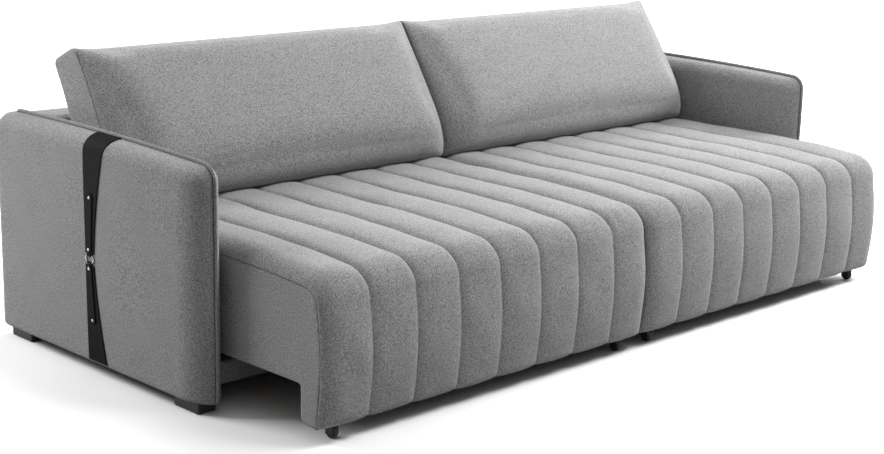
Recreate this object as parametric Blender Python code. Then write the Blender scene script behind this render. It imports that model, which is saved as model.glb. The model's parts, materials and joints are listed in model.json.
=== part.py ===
"""Two-seat retractable sofa.

Each seat slides forward on two casters and two rollers that run on rails, and each back cushion tilts on
two ratchet hinges. Units are metres: X runs along the sofa, -Y is its front and +Z is up. The origin is on
the floor in the middle of the sofa, which stands with both seats pulled out.
"""
import math

import bmesh
import bpy
from mathutils import Vector

# Clearances
FIT = 0.0003
RUNNING_FIT = 0.0004
SEAT_GAP = 0.006
ARM_GAP = 0.006
STOP_GAP = 0.010
BACK_GAP = 0.001
BACK_SIDE_GAP = 0.002

# Arms and feet
ARM_LENGTH = 0.930
ARM_THICKNESS = 0.092
ARM_BODY_HEIGHT = 0.588
ARM_ROUNDING = 0.030
ARM_PADDING = 0.026
FOOT_HEIGHT = 0.030
FOOT_WIDTH = 0.054
FOOT_LENGTH = 0.100
FOOT_INSET = 0.032
FOOT_EDGE = 0.003
ROUND_STEPS = 4

# Leather straps on the arms
STRAP_REAR = 0.476
STRAP_THICKNESS = 0.0025
STRAP_WAIST_WIDTH = 0.038
STRAP_FLARE = 0.050
STRAP_FLARE_RUN = 0.283
STRAP_FLARE_POWER = 1.5
STRAP_START = 0.006
STRAP_HEM = 0.004
STRAP_STEPS = 6
TAB_LENGTH = 0.156
TAB_WIDTH = 0.022
TAB_THICKNESS = 0.003
TAB_END_GAP = 0.002
RING_HEIGHT = 0.3075
RING_WIDTH = 0.034
RING_DEPTH = 0.020
RING_WIRE = 0.0018
RING_SIDES = 8

# Low back and base
LOW_BACK_DEPTH = 0.165
LOW_BACK_DROP = 0.006
LOW_BACK_INSET = 0.004
LOW_BACK_PADDING = 0.020
LOW_BACK_ROUNDING = 0.032
REAR_SKIN = 0.006
PANEL_THICKNESS = 0.018
BEAM_CLEARANCE = 0.044
RAIL_LIFT = 0.021
RAIL_HEIGHT = 0.060
RAIL_DEPTH = 0.040
RAIL_SETBACK = 0.055
RAIL_EDGE = 0.006
MIDDLE_RAIL_WIDTH = 0.040
MIDDLE_FOOT_SETBACK = 0.080
MIDDLE_FOOT_LENGTH = 0.060

# Slide rails and rollers
SLIDE_HEIGHT = 0.020
SLIDE_WIDTH = 0.016
SLIDE_LIFT = 0.006
SLIDE_EDGE = 0.002
SLIDE_END_GAP = 0.004
ROLLER_RADIUS = 0.016
ROLLER_WIDTH = 0.010
ROLLER_EDGE = 0.0015
ROLLER_SIDE_GAP = 0.0012
ROLLER_SETBACK = 0.050
ROLLER_AXLE = 0.004
BRACKET_PLATE = 0.003
BRACKET_LENGTH = 0.036
BRACKET_DROP = 0.010

# Seats
SEAT_WIDTH = 1.152
SEAT_TRAVEL = 0.305
SKIRT_DEPTH = 0.105
HEM_HEIGHT = 0.040
SEAT_CLEARANCE = 0.026
SEAT_FRAME_HEIGHT = 0.182
SEAT_PAD = 0.1055
FRONT_PAD = 0.055
FRONT_FALL = 0.014
FRONT_FALL_RUN = 0.330
FRONT_ROLL = 0.080
FRONT_BOW = 0.012
REAR_ROLL = 0.015
HEM_ROLL = 0.020
SEAT_CHANNELS = 8
SEAM_DEPTH = 0.016
SEAM_SHARPNESS = 2.5
EDGE_ROLL = 0.055
EDGE_DROP_TOP = 0.052
EDGE_DROP_FRONT = 0.028
BOARD = 0.022
SIDE_SKIN = 0.003
LEG_LIFT = 0.004
LEG_CORNER = 0.014
FRONT_BOARD_LIFT = 0.026
WEBBING_THICKNESS = 0.002
WEBBING_BANDS = 5
WEBBING_WIDTH = 0.060
WEBBING_MARGIN = 0.006

# Casters
WHEEL_RADIUS = 0.017
WHEEL_WIDTH = 0.014
WHEEL_EDGE = 0.0035
WHEEL_SIDE_GAP = 0.0008
WHEEL_SETBACK = 0.016
WHEEL_AXLE = 0.004
CASTER_OUTER_INSET = 0.065
CASTER_INNER_INSET = 0.065
FORK_PLATE = 0.0025
FORK_LENGTH = 0.024
FORK_DROP = 0.007
CIRCLE_STEPS = 24

# Back cushions and ratchet hinges
BACK_LEAN = math.radians(24)
BACK_ROLL = 0.084
BACK_HEIGHT = 0.312
BACK_TOP_THICKNESS = 0.127
BACK_CROWN = 0.044
BACK_CORNER = 0.018
BACK_DRAW_IN = 0.010
BACK_EDGE = 0.014
BACK_COLUMNS = 12
BACK_LIP = 0.050
BACK_BOARD = 0.018
BACK_BOARD_INSET = 0.020
NOTCH_HEIGHT = 0.088
NOTCH_MARGIN = 0.012
NOTCH_LIP_ANGLE = 35
HINGE_REACH = 0.205
HINGE_INSET = 0.140
HINGE_PLATE = 0.004
HINGE_HUB = 0.024
HINGE_BAR = 0.028
HINGE_PIN = 0.006
HINGE_FLANGE = 0.003
HINGE_FLANGE_WIDTH = 0.032
HINGE_FLANGE_HEIGHT = 0.050
HINGE_ARM_WIDTH = 0.022

# Heights that the sizes above lead to
ARM_TOP = FOOT_HEIGHT + ARM_BODY_HEIGHT
RAIL_BOTTOM = FOOT_HEIGHT + RAIL_LIFT
RAIL_TOP = RAIL_BOTTOM + RAIL_HEIGHT
SEAT_BOTTOM = RAIL_TOP + SEAT_CLEARANCE
SEAT_FRAME_TOP = SEAT_BOTTOM + SEAT_FRAME_HEIGHT
SEAT_UNDER = SEAT_FRAME_TOP + FIT + WEBBING_THICKNESS + FIT
SEAT_TOP = SEAT_UNDER + SEAT_PAD
SLIDE_BOTTOM = RAIL_BOTTOM + SLIDE_LIFT
SLIDE_TOP = SLIDE_BOTTOM + SLIDE_HEIGHT
ROLLER_HEIGHT = SLIDE_TOP + RUNNING_FIT + ROLLER_RADIUS
LOW_BACK_TOP = ARM_TOP - LOW_BACK_DROP
BEAM_BOTTOM = SEAT_TOP + BEAM_CLEARANCE
PIVOT_HEIGHT = SEAT_TOP + BACK_GAP + BACK_ROLL
BACK_BOARD_TOP = BACK_HEIGHT - BACK_LIP

# Places across the sofa
SEAT_MIDDLE = SEAT_GAP / 2 + SEAT_WIDTH / 2
ARM_INNER = SEAT_GAP / 2 + SEAT_WIDTH + ARM_GAP
ARM_MIDDLE = ARM_INNER + ARM_THICKNESS / 2
ARM_OUTER = ARM_INNER + ARM_THICKNESS
BACK_WIDTH = SEAT_WIDTH - 2 * BACK_SIDE_GAP

# Places from front to back, measured from the front of the arms
LOW_BACK_FRONT = ARM_LENGTH - LOW_BACK_DEPTH
LOW_BACK_REAR = ARM_LENGTH - LOW_BACK_INSET
PANEL_FRONT = LOW_BACK_REAR - REAR_SKIN - FIT - PANEL_THICKNESS
RAIL_REAR = RAIL_SETBACK + RAIL_DEPTH
SKIRT_REAR = RAIL_SETBACK - STOP_GAP - SEAT_TRAVEL
SEAT_FRONT = SKIRT_REAR - SKIRT_DEPTH
SEAT_REAR = PANEL_FRONT - STOP_GAP - SEAT_TRAVEL
PIVOT_SETBACK = LOW_BACK_FRONT - HINGE_REACH
STRAP_MIDDLE = STRAP_REAR - STRAP_WAIST_WIDTH / 2
CASTER_SETBACK = SEAT_FRONT + FRONT_PAD + WHEEL_SETBACK
ROLLER_PLACE = SEAT_REAR - ROLLER_SETBACK
ARM_FRONT = -(ARM_LENGTH + SEAT_FRONT) / 2

SIDES = (("left", -1), ("right", 1))


# Scene, materials and meshes


def clear_scene():
    for item in list(bpy.data.objects):
        bpy.data.objects.remove(item, do_unlink=True)


def finish(name, colour, roughness, metallic=0.0):
    """A plain surface finish; the colour is linear red, green and blue."""
    material = bpy.data.materials.new(name)
    material.use_nodes = True
    shader = material.node_tree.nodes["Principled BSDF"]
    shader.inputs["Base Color"].default_value = (*colour, 1.0)
    shader.inputs["Roughness"].default_value = roughness
    shader.inputs["Metallic"].default_value = metallic
    return material


def anchor(name, location, parent=None, lean=0.0):
    """An empty that carries the pieces of one body; lean turns it about X."""
    item = bpy.data.objects.new(name, None)
    item.location = location
    item.rotation_euler = (lean, 0, 0)
    item.parent = parent
    bpy.context.scene.collection.objects.link(item)
    return item


def piece(name, mesh, parent, material, location=(0, 0, 0), smooth=False):
    """Turn a bmesh into a named object under its parent."""
    bmesh.ops.recalc_face_normals(mesh, faces=mesh.faces)
    data = bpy.data.meshes.new(name)
    mesh.to_mesh(data)
    mesh.free()
    if smooth:
        data.shade_smooth()
        data.set_sharp_from_angle(angle=math.radians(40))
    if material:
        data.materials.append(material)
    item = bpy.data.objects.new(name, data)
    item.location = location
    item.parent = parent
    bpy.context.scene.collection.objects.link(item)
    return item


def tool(name, mesh, parent, location=(0, 0, 0)):
    """A hidden shape that only cuts or extends another piece."""
    item = piece(name, mesh, parent, None, location)
    item.hide_render = True
    item.display_type = "WIRE"
    return item


def combine(target, other, operation):
    modifier = target.modifiers.new(operation.title(), "BOOLEAN")
    modifier.operation = operation
    modifier.object = other


def block(low, high, mesh=None):
    """A box between two corners, in a new mesh or added to a given one."""
    mesh = mesh or bmesh.new()
    low = Vector(low)
    high = Vector(high)
    corners = bmesh.ops.create_cube(mesh, size=1.0)["verts"]
    for corner in corners:
        share = corner.co + Vector((0.5, 0.5, 0.5))
        corner.co = Vector(low[i] + (high[i] - low[i]) * share[i] for i in range(3))
    return mesh


def round_edges(mesh, radius, steps, keep=None):
    """Round a mesh's edges, apart from those that keep says to leave."""
    edges = [edge for edge in mesh.edges if not (keep and keep(edge))]
    bmesh.ops.bevel(mesh, geom=edges, offset=radius, segments=steps, profile=0.5, affect="EDGES")
    return mesh


def loft(rings, mesh=None):
    """A closed skin over rings of points, with a flat cap at each end."""
    mesh = mesh or bmesh.new()
    rows = [[mesh.verts.new(point) for point in ring] for ring in rings]
    for near, far in zip(rows, rows[1:]):
        for i in range(len(near)):
            j = (i + 1) % len(near)
            mesh.faces.new((near[i], near[j], far[j], far[i]))
    mesh.faces.new(rows[0])
    mesh.faces.new(rows[-1])
    return mesh


def prism_x(outline, start, stop, mesh=None):
    """An outline of (y, z) points drawn along X."""
    return loft([[(x, y, z) for y, z in outline] for x in (start, stop)], mesh)


def prism_y(outline, start, stop, mesh=None):
    """An outline of (x, z) points drawn along Y."""
    return loft([[(x, y, z) for x, z in outline] for y in (start, stop)], mesh)


def arc(centre, radius, start, stop, steps):
    """Points on a circle from one angle to another, in degrees."""
    angles = [math.radians(start + (stop - start) * i / steps) for i in range(steps + 1)]
    return [(centre[0] + radius * math.cos(a), centre[1] + radius * math.sin(a)) for a in angles]


def rod_x(radius, start, stop, steps=CIRCLE_STEPS, mesh=None):
    """A round bar along X, on the axis y = z = 0."""
    circle = arc((0, 0), radius, 0, 360, steps)[:-1]
    return prism_x(circle, start, stop, mesh)


def turned_x(profile):
    """A ring turned about X from a closed profile of (x, radius) points."""
    mesh = bmesh.new()
    rows = []
    for i in range(CIRCLE_STEPS):
        a = 2 * math.pi * i / CIRCLE_STEPS
        rows.append([mesh.verts.new((x, r * math.cos(a), r * math.sin(a))) for x, r in profile])
    for i in range(CIRCLE_STEPS):
        near = rows[i]
        far = rows[(i + 1) % CIRCLE_STEPS]
        for j in range(len(profile)):
            k = (j + 1) % len(profile)
            mesh.faces.new((near[j], near[k], far[k], far[j]))
    return mesh


def ease(share):
    """A smooth step from 0 to 1."""
    share = min(max(share, 0.0), 1.0)
    return share * share * (3 - 2 * share)


# Arms, straps and feet


def arm(base, name, side, finishes):
    """Timber frame and padded cover of one arm."""
    core_low = (ARM_INNER + ARM_PADDING, ARM_PADDING, FOOT_HEIGHT)
    core_high = (ARM_OUTER - ARM_PADDING, ARM_LENGTH - ARM_PADDING, ARM_TOP - ARM_PADDING)
    cover = block((ARM_INNER, 0, FOOT_HEIGHT), (ARM_OUTER, ARM_LENGTH, ARM_TOP))
    round_edges(cover, ARM_ROUNDING, ROUND_STEPS, on_arm_bottom)
    mirrored(cover, side)
    cover_piece = piece(f"{name}_arm_cover", cover, base, finishes["fabric"], smooth=True)
    cavity = block(Vector(core_low) - Vector((FIT, FIT, ARM_PADDING)), Vector(core_high) + Vector((FIT,) * 3))
    combine(cover_piece, tool(f"{name}_arm_cavity", mirrored(cavity, side), base), "DIFFERENCE")
    core = mirrored(block(core_low, core_high), side)
    piece(f"{name}_arm_frame", core, base, finishes["timber"])


def on_arm_bottom(edge):
    return all(abs(vertex.co.z - FOOT_HEIGHT) < FIT for vertex in edge.verts)


def mirrored(mesh, side):
    """Mirror a mesh made for the right-hand side onto the left when side is -1."""
    for vertex in mesh.verts:
        vertex.co.x *= side
    return mesh


def feet(base, finishes):
    """A block foot at each end of each arm, and one under the middle rail."""
    low_ends = (("front", FOOT_INSET), ("rear", ARM_LENGTH - FOOT_INSET - FOOT_LENGTH))
    for name, side in SIDES:
        for end, start in low_ends:
            half = FOOT_WIDTH / 2
            middle = side * ARM_MIDDLE
            top = FOOT_HEIGHT - FIT
            foot = block((middle - half, start, 0), (middle + half, start + FOOT_LENGTH, top))
            round_edges(foot, FOOT_EDGE, 1)
            piece(f"{name}_{end}_foot", foot, base, finishes["plastic"])
    half = MIDDLE_RAIL_WIDTH / 2
    start = RAIL_REAR + MIDDLE_FOOT_SETBACK
    foot = block((-half, start, 0), (half, start + MIDDLE_FOOT_LENGTH, RAIL_BOTTOM - FIT))
    round_edges(foot, FOOT_EDGE, 1)
    piece("middle_foot", foot, base, finishes["plastic"])


def strap_line(lift):
    """Line of (x, z) points on an arm from its outer face round the outer edge to its top middle."""
    corner = (ARM_OUTER - ARM_ROUNDING, ARM_TOP - ARM_ROUNDING)
    end = (ARM_MIDDLE + STRAP_START, ARM_TOP + lift)
    return arc(corner, ARM_ROUNDING + lift, 0, 90, ROUND_STEPS) + [end]


def strap_ring(near, far, run):
    """Four corners of a strap's section between its inner and outer line, at a distance from the ring.

    The rear edge of a strap is straight and its front edge flares away from the ring.
    """
    width = STRAP_WAIST_WIDTH + STRAP_FLARE * (run / STRAP_FLARE_RUN) ** STRAP_FLARE_POWER
    front = STRAP_REAR - width
    return [
        (near[0], front, near[1]),
        (near[0], STRAP_REAR, near[1]),
        (far[0], STRAP_REAR, far[1]),
        (far[0], front, far[1]),
    ]


def straps(base, name, side, finishes):
    """Upper and lower strap of one arm, each with its folded tab, and the ring between them."""
    near_x = ARM_OUTER + FIT
    far_x = near_x + STRAP_THICKNESS
    reach = RING_DEPTH / 2 + RING_WIRE + FIT
    fold = ARM_TOP - ARM_ROUNDING
    foot = FOOT_HEIGHT + STRAP_HEM

    rings = []
    for i in range(STRAP_STEPS):
        z = RING_HEIGHT + reach + (fold - RING_HEIGHT - reach) * i / STRAP_STEPS
        rings.append(strap_ring((near_x, z), (far_x, z), z - RING_HEIGHT))
    near = strap_line(FIT)
    far = strap_line(FIT + STRAP_THICKNESS)
    run = fold - RING_HEIGHT
    for i, (a, b) in enumerate(zip(near, far)):
        run += math.dist(a, near[max(i - 1, 0)])
        rings.append(strap_ring(a, b, run))
    upper = piece(f"{name}_strap_upper", mirrored(loft(rings), side), base, finishes["leather"])

    rings = []
    for i in range(STRAP_STEPS + 1):
        z = RING_HEIGHT - reach + (foot - RING_HEIGHT + reach) * i / STRAP_STEPS
        rings.append(strap_ring((near_x, z), (far_x, z), RING_HEIGHT - z))
    lower = piece(f"{name}_strap_lower", mirrored(loft(rings), side), base, finishes["leather"])

    for strap, direction in ((upper, 1), (lower, -1)):
        near_end = RING_HEIGHT + direction * (reach + TAB_END_GAP)
        far_end = near_end + direction * TAB_LENGTH
        low = (far_x - FIT, STRAP_MIDDLE - TAB_WIDTH / 2, min(near_end, far_end))
        high = (far_x + TAB_THICKNESS, STRAP_MIDDLE + TAB_WIDTH / 2, max(near_end, far_end))
        tab = tool(f"{strap.name}_tab", mirrored(block(low, high), side), base)
        combine(strap, tab, "UNION")

    ring = mirrored(strap_loop(), side)
    location = (side * (near_x + RING_WIRE), STRAP_MIDDLE, RING_HEIGHT)
    piece(f"{name}_strap_ring", ring, base, finishes["chrome"], location, smooth=True)


def strap_loop():
    """Wire loop with round ends, lying flat against the arm."""
    end = RING_DEPTH / 2
    run = RING_WIDTH / 2 - end
    path = arc((run, 0), end, -90, 90, RING_SIDES) + arc((-run, 0), end, 90, 270, RING_SIDES)
    mesh = bmesh.new()
    rows = []
    for y, z in path:
        out = Vector((0, y - math.copysign(min(abs(y), run), y), z)).normalized()
        spoke = [math.radians(360 * i / RING_SIDES) for i in range(RING_SIDES)]
        row = []
        for a in spoke:
            offset = out * math.cos(a) + Vector((math.sin(a), 0, 0))
            row.append(mesh.verts.new(Vector((0, y, z)) + offset * RING_WIRE))
        rows.append(row)
    for i, near in enumerate(rows):
        far = rows[(i + 1) % len(rows)]
        for j in range(RING_SIDES):
            k = (j + 1) % RING_SIDES
            mesh.faces.new((near[j], near[k], far[k], far[j]))
    return mesh


# Low back, base rails and slide rails


def low_back(base, finishes):
    """Timber frame of the low back, a rear panel with a beam along its top, and its padded cover."""
    half = ARM_INNER - FIT
    radius = LOW_BACK_ROUNDING
    inner_front = LOW_BACK_FRONT + LOW_BACK_PADDING
    inner_top = LOW_BACK_TOP - LOW_BACK_PADDING
    inner_rear = LOW_BACK_REAR - REAR_SKIN
    outline = [(LOW_BACK_FRONT, BEAM_BOTTOM)]
    outline += arc((LOW_BACK_FRONT + radius, LOW_BACK_TOP - radius), radius, 180, 90, ROUND_STEPS)
    outline += arc((LOW_BACK_REAR - radius, LOW_BACK_TOP - radius), radius, 90, 0, ROUND_STEPS)
    outline += [(LOW_BACK_REAR, RAIL_BOTTOM), (inner_rear, RAIL_BOTTOM), (inner_rear, inner_top)]
    outline += [(inner_front, inner_top), (inner_front, BEAM_BOTTOM)]
    cover = prism_x(outline, -half, half)
    piece("low_back_cover", cover, base, finishes["fabric"], smooth=True)
    front = inner_front + FIT
    top = inner_top - FIT
    rear = inner_rear - FIT
    outline = [(front, BEAM_BOTTOM), (front, top), (rear, top), (rear, RAIL_BOTTOM)]
    outline += [(PANEL_FRONT, RAIL_BOTTOM), (PANEL_FRONT, BEAM_BOTTOM)]
    piece("low_back_frame", prism_x(outline, -half, half), base, finishes["timber"])


def base_rails(base, finishes):
    """Covered front rail, and the timber rail from it to the rear panel."""
    half = ARM_INNER - FIT
    rail = block((-half, RAIL_SETBACK, RAIL_BOTTOM), (half, RAIL_REAR, RAIL_TOP))
    round_edges(rail, RAIL_EDGE, 2)
    piece("base_front_rail", rail, base, finishes["fabric"], smooth=True)
    half = MIDDLE_RAIL_WIDTH / 2
    rail = block((-half, RAIL_REAR + FIT, RAIL_BOTTOM), (half, PANEL_FRONT - FIT, RAIL_TOP))
    piece("base_middle_rail", rail, base, finishes["timber"])


def slide_wall(side, place):
    """X of the wall behind a slide rail and the direction away from it, for one seat's outer or inner side."""
    if place == "outer":
        return side * (ARM_INNER - FIT), -side
    return side * (MIDDLE_RAIL_WIDTH / 2 + FIT), side


def slide_rail(base, name, side, place, finishes):
    """Steel bar on an arm or on the middle rail, which carries one roller."""
    wall, away = slide_wall(side, place)
    edge = wall + away * SLIDE_WIDTH
    low = (min(wall, edge), RAIL_REAR + SLIDE_END_GAP, SLIDE_BOTTOM)
    high = (max(wall, edge), PANEL_FRONT - SLIDE_END_GAP, SLIDE_TOP)
    rail = round_edges(block(low, high), SLIDE_EDGE, 1)
    piece(f"{name}_{place}_slide_rail", rail, base, finishes["steel"])


# Seats


def seat_line():
    """Ridge line of a seat cushion, from its rear edge over the top and down to the hem, as (y, z)."""
    face = SEAT_FRONT + FRONT_BOW
    roll = (face + FRONT_ROLL, SEAT_TOP - FRONT_FALL - FRONT_ROLL)
    hem = HEM_HEIGHT + HEM_ROLL
    line = arc((SEAT_REAR - REAR_ROLL, SEAT_TOP - REAR_ROLL), REAR_ROLL, 0, 90, 2)
    for share in (0.0, 0.3, 0.6, 0.8):
        line.append((roll[0] + FRONT_FALL_RUN * (1 - share), SEAT_TOP - FRONT_FALL * share ** 2))
    line += arc(roll, FRONT_ROLL, 90, 180, 4)
    for share in (0.25, 0.5, 0.75):
        line.append((face - FRONT_BOW * math.sin(math.pi * share), roll[1] + (hem - roll[1]) * share))
    line += arc((face + HEM_ROLL, hem), HEM_ROLL, 180, 270, 2)
    return line


def outward(line):
    """Unit normal at each point of the ridge line."""
    normals = []
    for i in range(len(line)):
        before = line[max(i - 1, 0)]
        after = line[min(i + 1, len(line) - 1)]
        along = Vector((after[0] - before[0], after[1] - before[1])).normalized()
        normals.append((along.y, -along.x))
    return normals


def seam_drop(x):
    """How far the cushion lies below its ridges at x: share of the seam depth, share of the edge roll."""
    across = (x + SEAT_WIDTH / 2) / SEAT_WIDTH * SEAT_CHANNELS
    channel = min(int(across), SEAT_CHANNELS - 1)
    offset = 2 * (across - channel) - 1
    outer_half = (channel == 0 and offset < 0) or (channel == SEAT_CHANNELS - 1 and offset > 0)
    seam = 0.0 if outer_half else abs(offset) ** SEAM_SHARPNESS
    inside = min((SEAT_WIDTH / 2 - abs(x)) / EDGE_ROLL, 1.0)
    edge = 1 - math.sqrt(max(0.0, 1 - (1 - inside) ** 2))
    return seam, edge


def seat_columns():
    """X of each row of points across a cushion: close together at the seams and at the rounded sides."""
    width = SEAT_WIDTH / SEAT_CHANNELS
    half = SEAT_WIDTH / 2
    columns = {round(half - EDGE_ROLL * (1 - math.cos(math.radians(a))), 6) for a in (0, 30, 50, 70, 90)}
    columns |= {-x for x in columns}
    for channel in range(SEAT_CHANNELS):
        for share in (0.0, 0.07, 0.22, 0.5, 0.78, 0.93):
            x = round(-half + (channel + share) * width, 6)
            if half - abs(x) >= EDGE_ROLL:
                columns.add(x)
    return sorted(columns)


def seat_cushion(seat, name, finishes):
    """Channelled pad over the top and front of a seat."""
    line = seat_line()
    normals = outward(line)
    inner = SEAT_FRONT + FRONT_PAD
    under = [(inner, HEM_HEIGHT), (inner, SEAT_UNDER), (SEAT_REAR, SEAT_UNDER)]
    rings = []
    for x in seat_columns():
        seam, edge = seam_drop(x)
        top_drop = SEAM_DEPTH * seam + EDGE_DROP_TOP * edge
        front_drop = SEAM_DEPTH * seam + EDGE_DROP_FRONT * edge
        ring = []
        for (y, z), (out_y, out_z) in zip(line, normals):
            ring.append((x, y + front_drop * max(-out_y, 0), z - top_drop * max(out_z, 0)))
        rings.append(ring + [(x, y, z) for y, z in under])
    piece(f"{name}_seat_cushion", loft(rings), seat, finishes["fabric"], smooth=True)


def seat_frame(seat, name, finishes):
    """Timber frame of a seat: two side boards with a leg at the front, a front and a rear board."""
    front = SEAT_FRONT + FRONT_PAD + FIT
    rear = SEAT_REAR
    outer = SEAT_WIDTH / 2 - SIDE_SKIN
    foot = HEM_HEIGHT + LEG_LIFT
    side_outline = [(front, foot), (front, SEAT_FRAME_TOP), (rear, SEAT_FRAME_TOP)]
    side_outline += [(rear, SEAT_BOTTOM), (SKIRT_REAR, SEAT_BOTTOM)]
    side_outline += arc((SKIRT_REAR - LEG_CORNER, foot + LEG_CORNER), LEG_CORNER, 0, -90, ROUND_STEPS)
    frame = prism_x(side_outline, -outer, -outer + BOARD)
    prism_x(side_outline, outer - BOARD, outer, frame)
    frame_piece = piece(f"{name}_seat_frame", frame, seat, finishes["timber"])
    reach = outer - BOARD / 2
    boards = block((-reach, front, HEM_HEIGHT + FRONT_BOARD_LIFT), (reach, front + BOARD, SEAT_FRAME_TOP))
    block((-reach, rear - BOARD, SEAT_BOTTOM), (reach, rear, SEAT_FRAME_TOP), boards)
    combine(frame_piece, tool(f"{name}_seat_cross_boards", boards, seat), "UNION")


def band_edges(start, stop):
    """Edges of evenly spaced bands between two ends, as a flat list of starts and stops."""
    pitch = (stop - start - WEBBING_WIDTH) / (WEBBING_BANDS - 1)
    edges = []
    for i in range(WEBBING_BANDS):
        edges += [start + i * pitch, start + i * pitch + WEBBING_WIDTH]
    return edges


def seat_webbing(seat, name, finishes):
    """Woven elastic bands stretched over a seat frame, as one net."""
    half = SEAT_WIDTH / 2 - SIDE_SKIN - WEBBING_MARGIN
    xs = band_edges(-half, half)
    front = SEAT_FRONT + FRONT_PAD + FIT + WEBBING_MARGIN
    ys = band_edges(front, SEAT_REAR - WEBBING_MARGIN)
    z = SEAT_FRAME_TOP + FIT
    mesh = bmesh.new()
    grid = [[mesh.verts.new((x, y, z)) for y in ys] for x in xs]
    for i in range(len(xs) - 1):
        for j in range(len(ys) - 1):
            if i % 2 == 0 or j % 2 == 0:
                mesh.faces.new((grid[i][j], grid[i + 1][j], grid[i + 1][j + 1], grid[i][j + 1]))
    sheet = bmesh.ops.extrude_face_region(mesh, geom=mesh.faces[:])["geom"]
    raised = [item for item in sheet if isinstance(item, bmesh.types.BMVert)]
    bmesh.ops.translate(mesh, verts=raised, vec=(0, 0, WEBBING_THICKNESS))
    piece(f"{name}_seat_webbing", mesh, seat, finishes["webbing"])


def caster(seat, name, x, finishes):
    """Fixed fork with its axle, and the wheel that turns on it."""
    half = WHEEL_WIDTH / 2 + WHEEL_SIDE_GAP
    outer = half + FORK_PLATE
    top = HEM_HEIGHT + FRONT_BOARD_LIFT - FIT - WHEEL_RADIUS
    low = -FORK_DROP
    roof = top - FORK_PLATE
    outline = [(-outer, low), (-outer, top), (outer, top), (outer, low)]
    outline += [(half, low), (half, roof), (-half, roof), (-half, low)]
    place = (x, CASTER_SETBACK, WHEEL_RADIUS)
    fork = prism_y(outline, -FORK_LENGTH / 2, FORK_LENGTH / 2)
    fork_piece = piece(f"{name}_caster_fork", fork, seat, finishes["steel"], place)
    axle = rod_x(WHEEL_AXLE, -outer + FIT, outer - FIT)
    combine(fork_piece, tool(f"{name}_caster_axle", axle, seat, place), "UNION")
    wide = WHEEL_WIDTH / 2
    bore = WHEEL_AXLE + RUNNING_FIT
    profile = [(-wide, bore), (-wide, WHEEL_RADIUS - WHEEL_EDGE), (-wide + WHEEL_EDGE, WHEEL_RADIUS)]
    profile += [(-x_edge, radius) for x_edge, radius in reversed(profile)]
    piece(f"{name}_caster_wheel", turned_x(profile), seat, finishes["rubber"], place, smooth=True)


def runner(seat, name, side, place, finishes):
    """Bracket with its axle under the rear of a seat, and the roller that runs on the slide rail."""
    wall, away = slide_wall(side, place)
    roller_far = wall - side * SEAT_MIDDLE + away * SLIDE_WIDTH
    roller_near = roller_far - away * ROLLER_WIDTH
    plate_near = roller_far + away * ROLLER_SIDE_GAP
    plate_far = plate_near + away * BRACKET_PLATE
    board = -away * (SEAT_WIDTH / 2 - SIDE_SKIN)
    top = SEAT_BOTTOM - FIT - ROLLER_HEIGHT
    half = BRACKET_LENGTH / 2
    location = (0, ROLLER_PLACE, ROLLER_HEIGHT)
    low = (min(plate_near, plate_far), -half, -BRACKET_DROP)
    high = (max(plate_near, plate_far), half, top)
    bracket = piece(f"{name}_{place}_roller_bracket", block(low, high), seat, finishes["steel"], location)
    low = (min(plate_near, board), -half, top - BRACKET_PLATE)
    high = (max(plate_near, board), half, top)
    flange = tool(f"{name}_{place}_roller_flange", block(low, high), seat, location)
    combine(bracket, flange, "UNION")
    axle = rod_x(ROLLER_AXLE, roller_near, plate_far - away * FIT)
    combine(bracket, tool(f"{name}_{place}_roller_axle", axle, seat, location), "UNION")
    half = ROLLER_WIDTH / 2
    bore = ROLLER_AXLE + RUNNING_FIT
    profile = [(-half, bore), (-half, ROLLER_RADIUS - ROLLER_EDGE), (-half + ROLLER_EDGE, ROLLER_RADIUS)]
    profile += [(-x_edge, radius) for x_edge, radius in reversed(profile)]
    location = (roller_near + away * half, ROLLER_PLACE, ROLLER_HEIGHT)
    piece(f"{name}_{place}_roller", turned_x(profile), seat, finishes["plastic"], location, smooth=True)


def seat_module(name, side, finishes):
    seat = anchor(f"{name}_seat", (side * SEAT_MIDDLE, ARM_FRONT, 0))
    seat_cushion(seat, name, finishes)
    seat_frame(seat, name, finishes)
    seat_webbing(seat, name, finishes)
    caster(seat, f"{name}_outer", side * (SEAT_WIDTH / 2 - CASTER_OUTER_INSET), finishes)
    caster(seat, f"{name}_inner", -side * (SEAT_WIDTH / 2 - CASTER_INNER_INSET), finishes)
    for place in ("outer", "inner"):
        runner(seat, name, side, place, finishes)


# Back cushions and hinges; here Y is the depth of the cushion and Z its height, from the pivot axis


def back_section(crown, edge):
    """Section of a back cushion: round foot, crowned front, boxed top and a notch for the hinges."""
    front_top = BACK_ROLL - BACK_TOP_THICKNESS + edge
    top = BACK_HEIGHT - edge
    section = arc((0, 0), BACK_ROLL, 270 + NOTCH_LIP_ANGLE, 180, 7)
    for share in (0.2, 0.4, 0.6, 0.8, 0.92):
        z = share * top
        y = -BACK_ROLL + (front_top + BACK_ROLL) * share
        section.append((y + edge * ease(share * 3) - crown * math.sin(math.pi * share), z))
    section += arc((front_top + BACK_CORNER, top - BACK_CORNER), BACK_CORNER, 180, 90, 2)
    section += arc((BACK_ROLL - BACK_CORNER, top - BACK_CORNER), BACK_CORNER, 90, 0, 2)
    seat_of_board = BACK_ROLL - BACK_BOARD
    notch = HINGE_HUB + NOTCH_MARGIN
    section += [(BACK_ROLL, BACK_BOARD_TOP), (seat_of_board, BACK_BOARD_TOP)]
    section += [(seat_of_board, NOTCH_HEIGHT), (-notch, NOTCH_HEIGHT), (-notch, -notch), (notch, -notch)]
    return section


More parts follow.
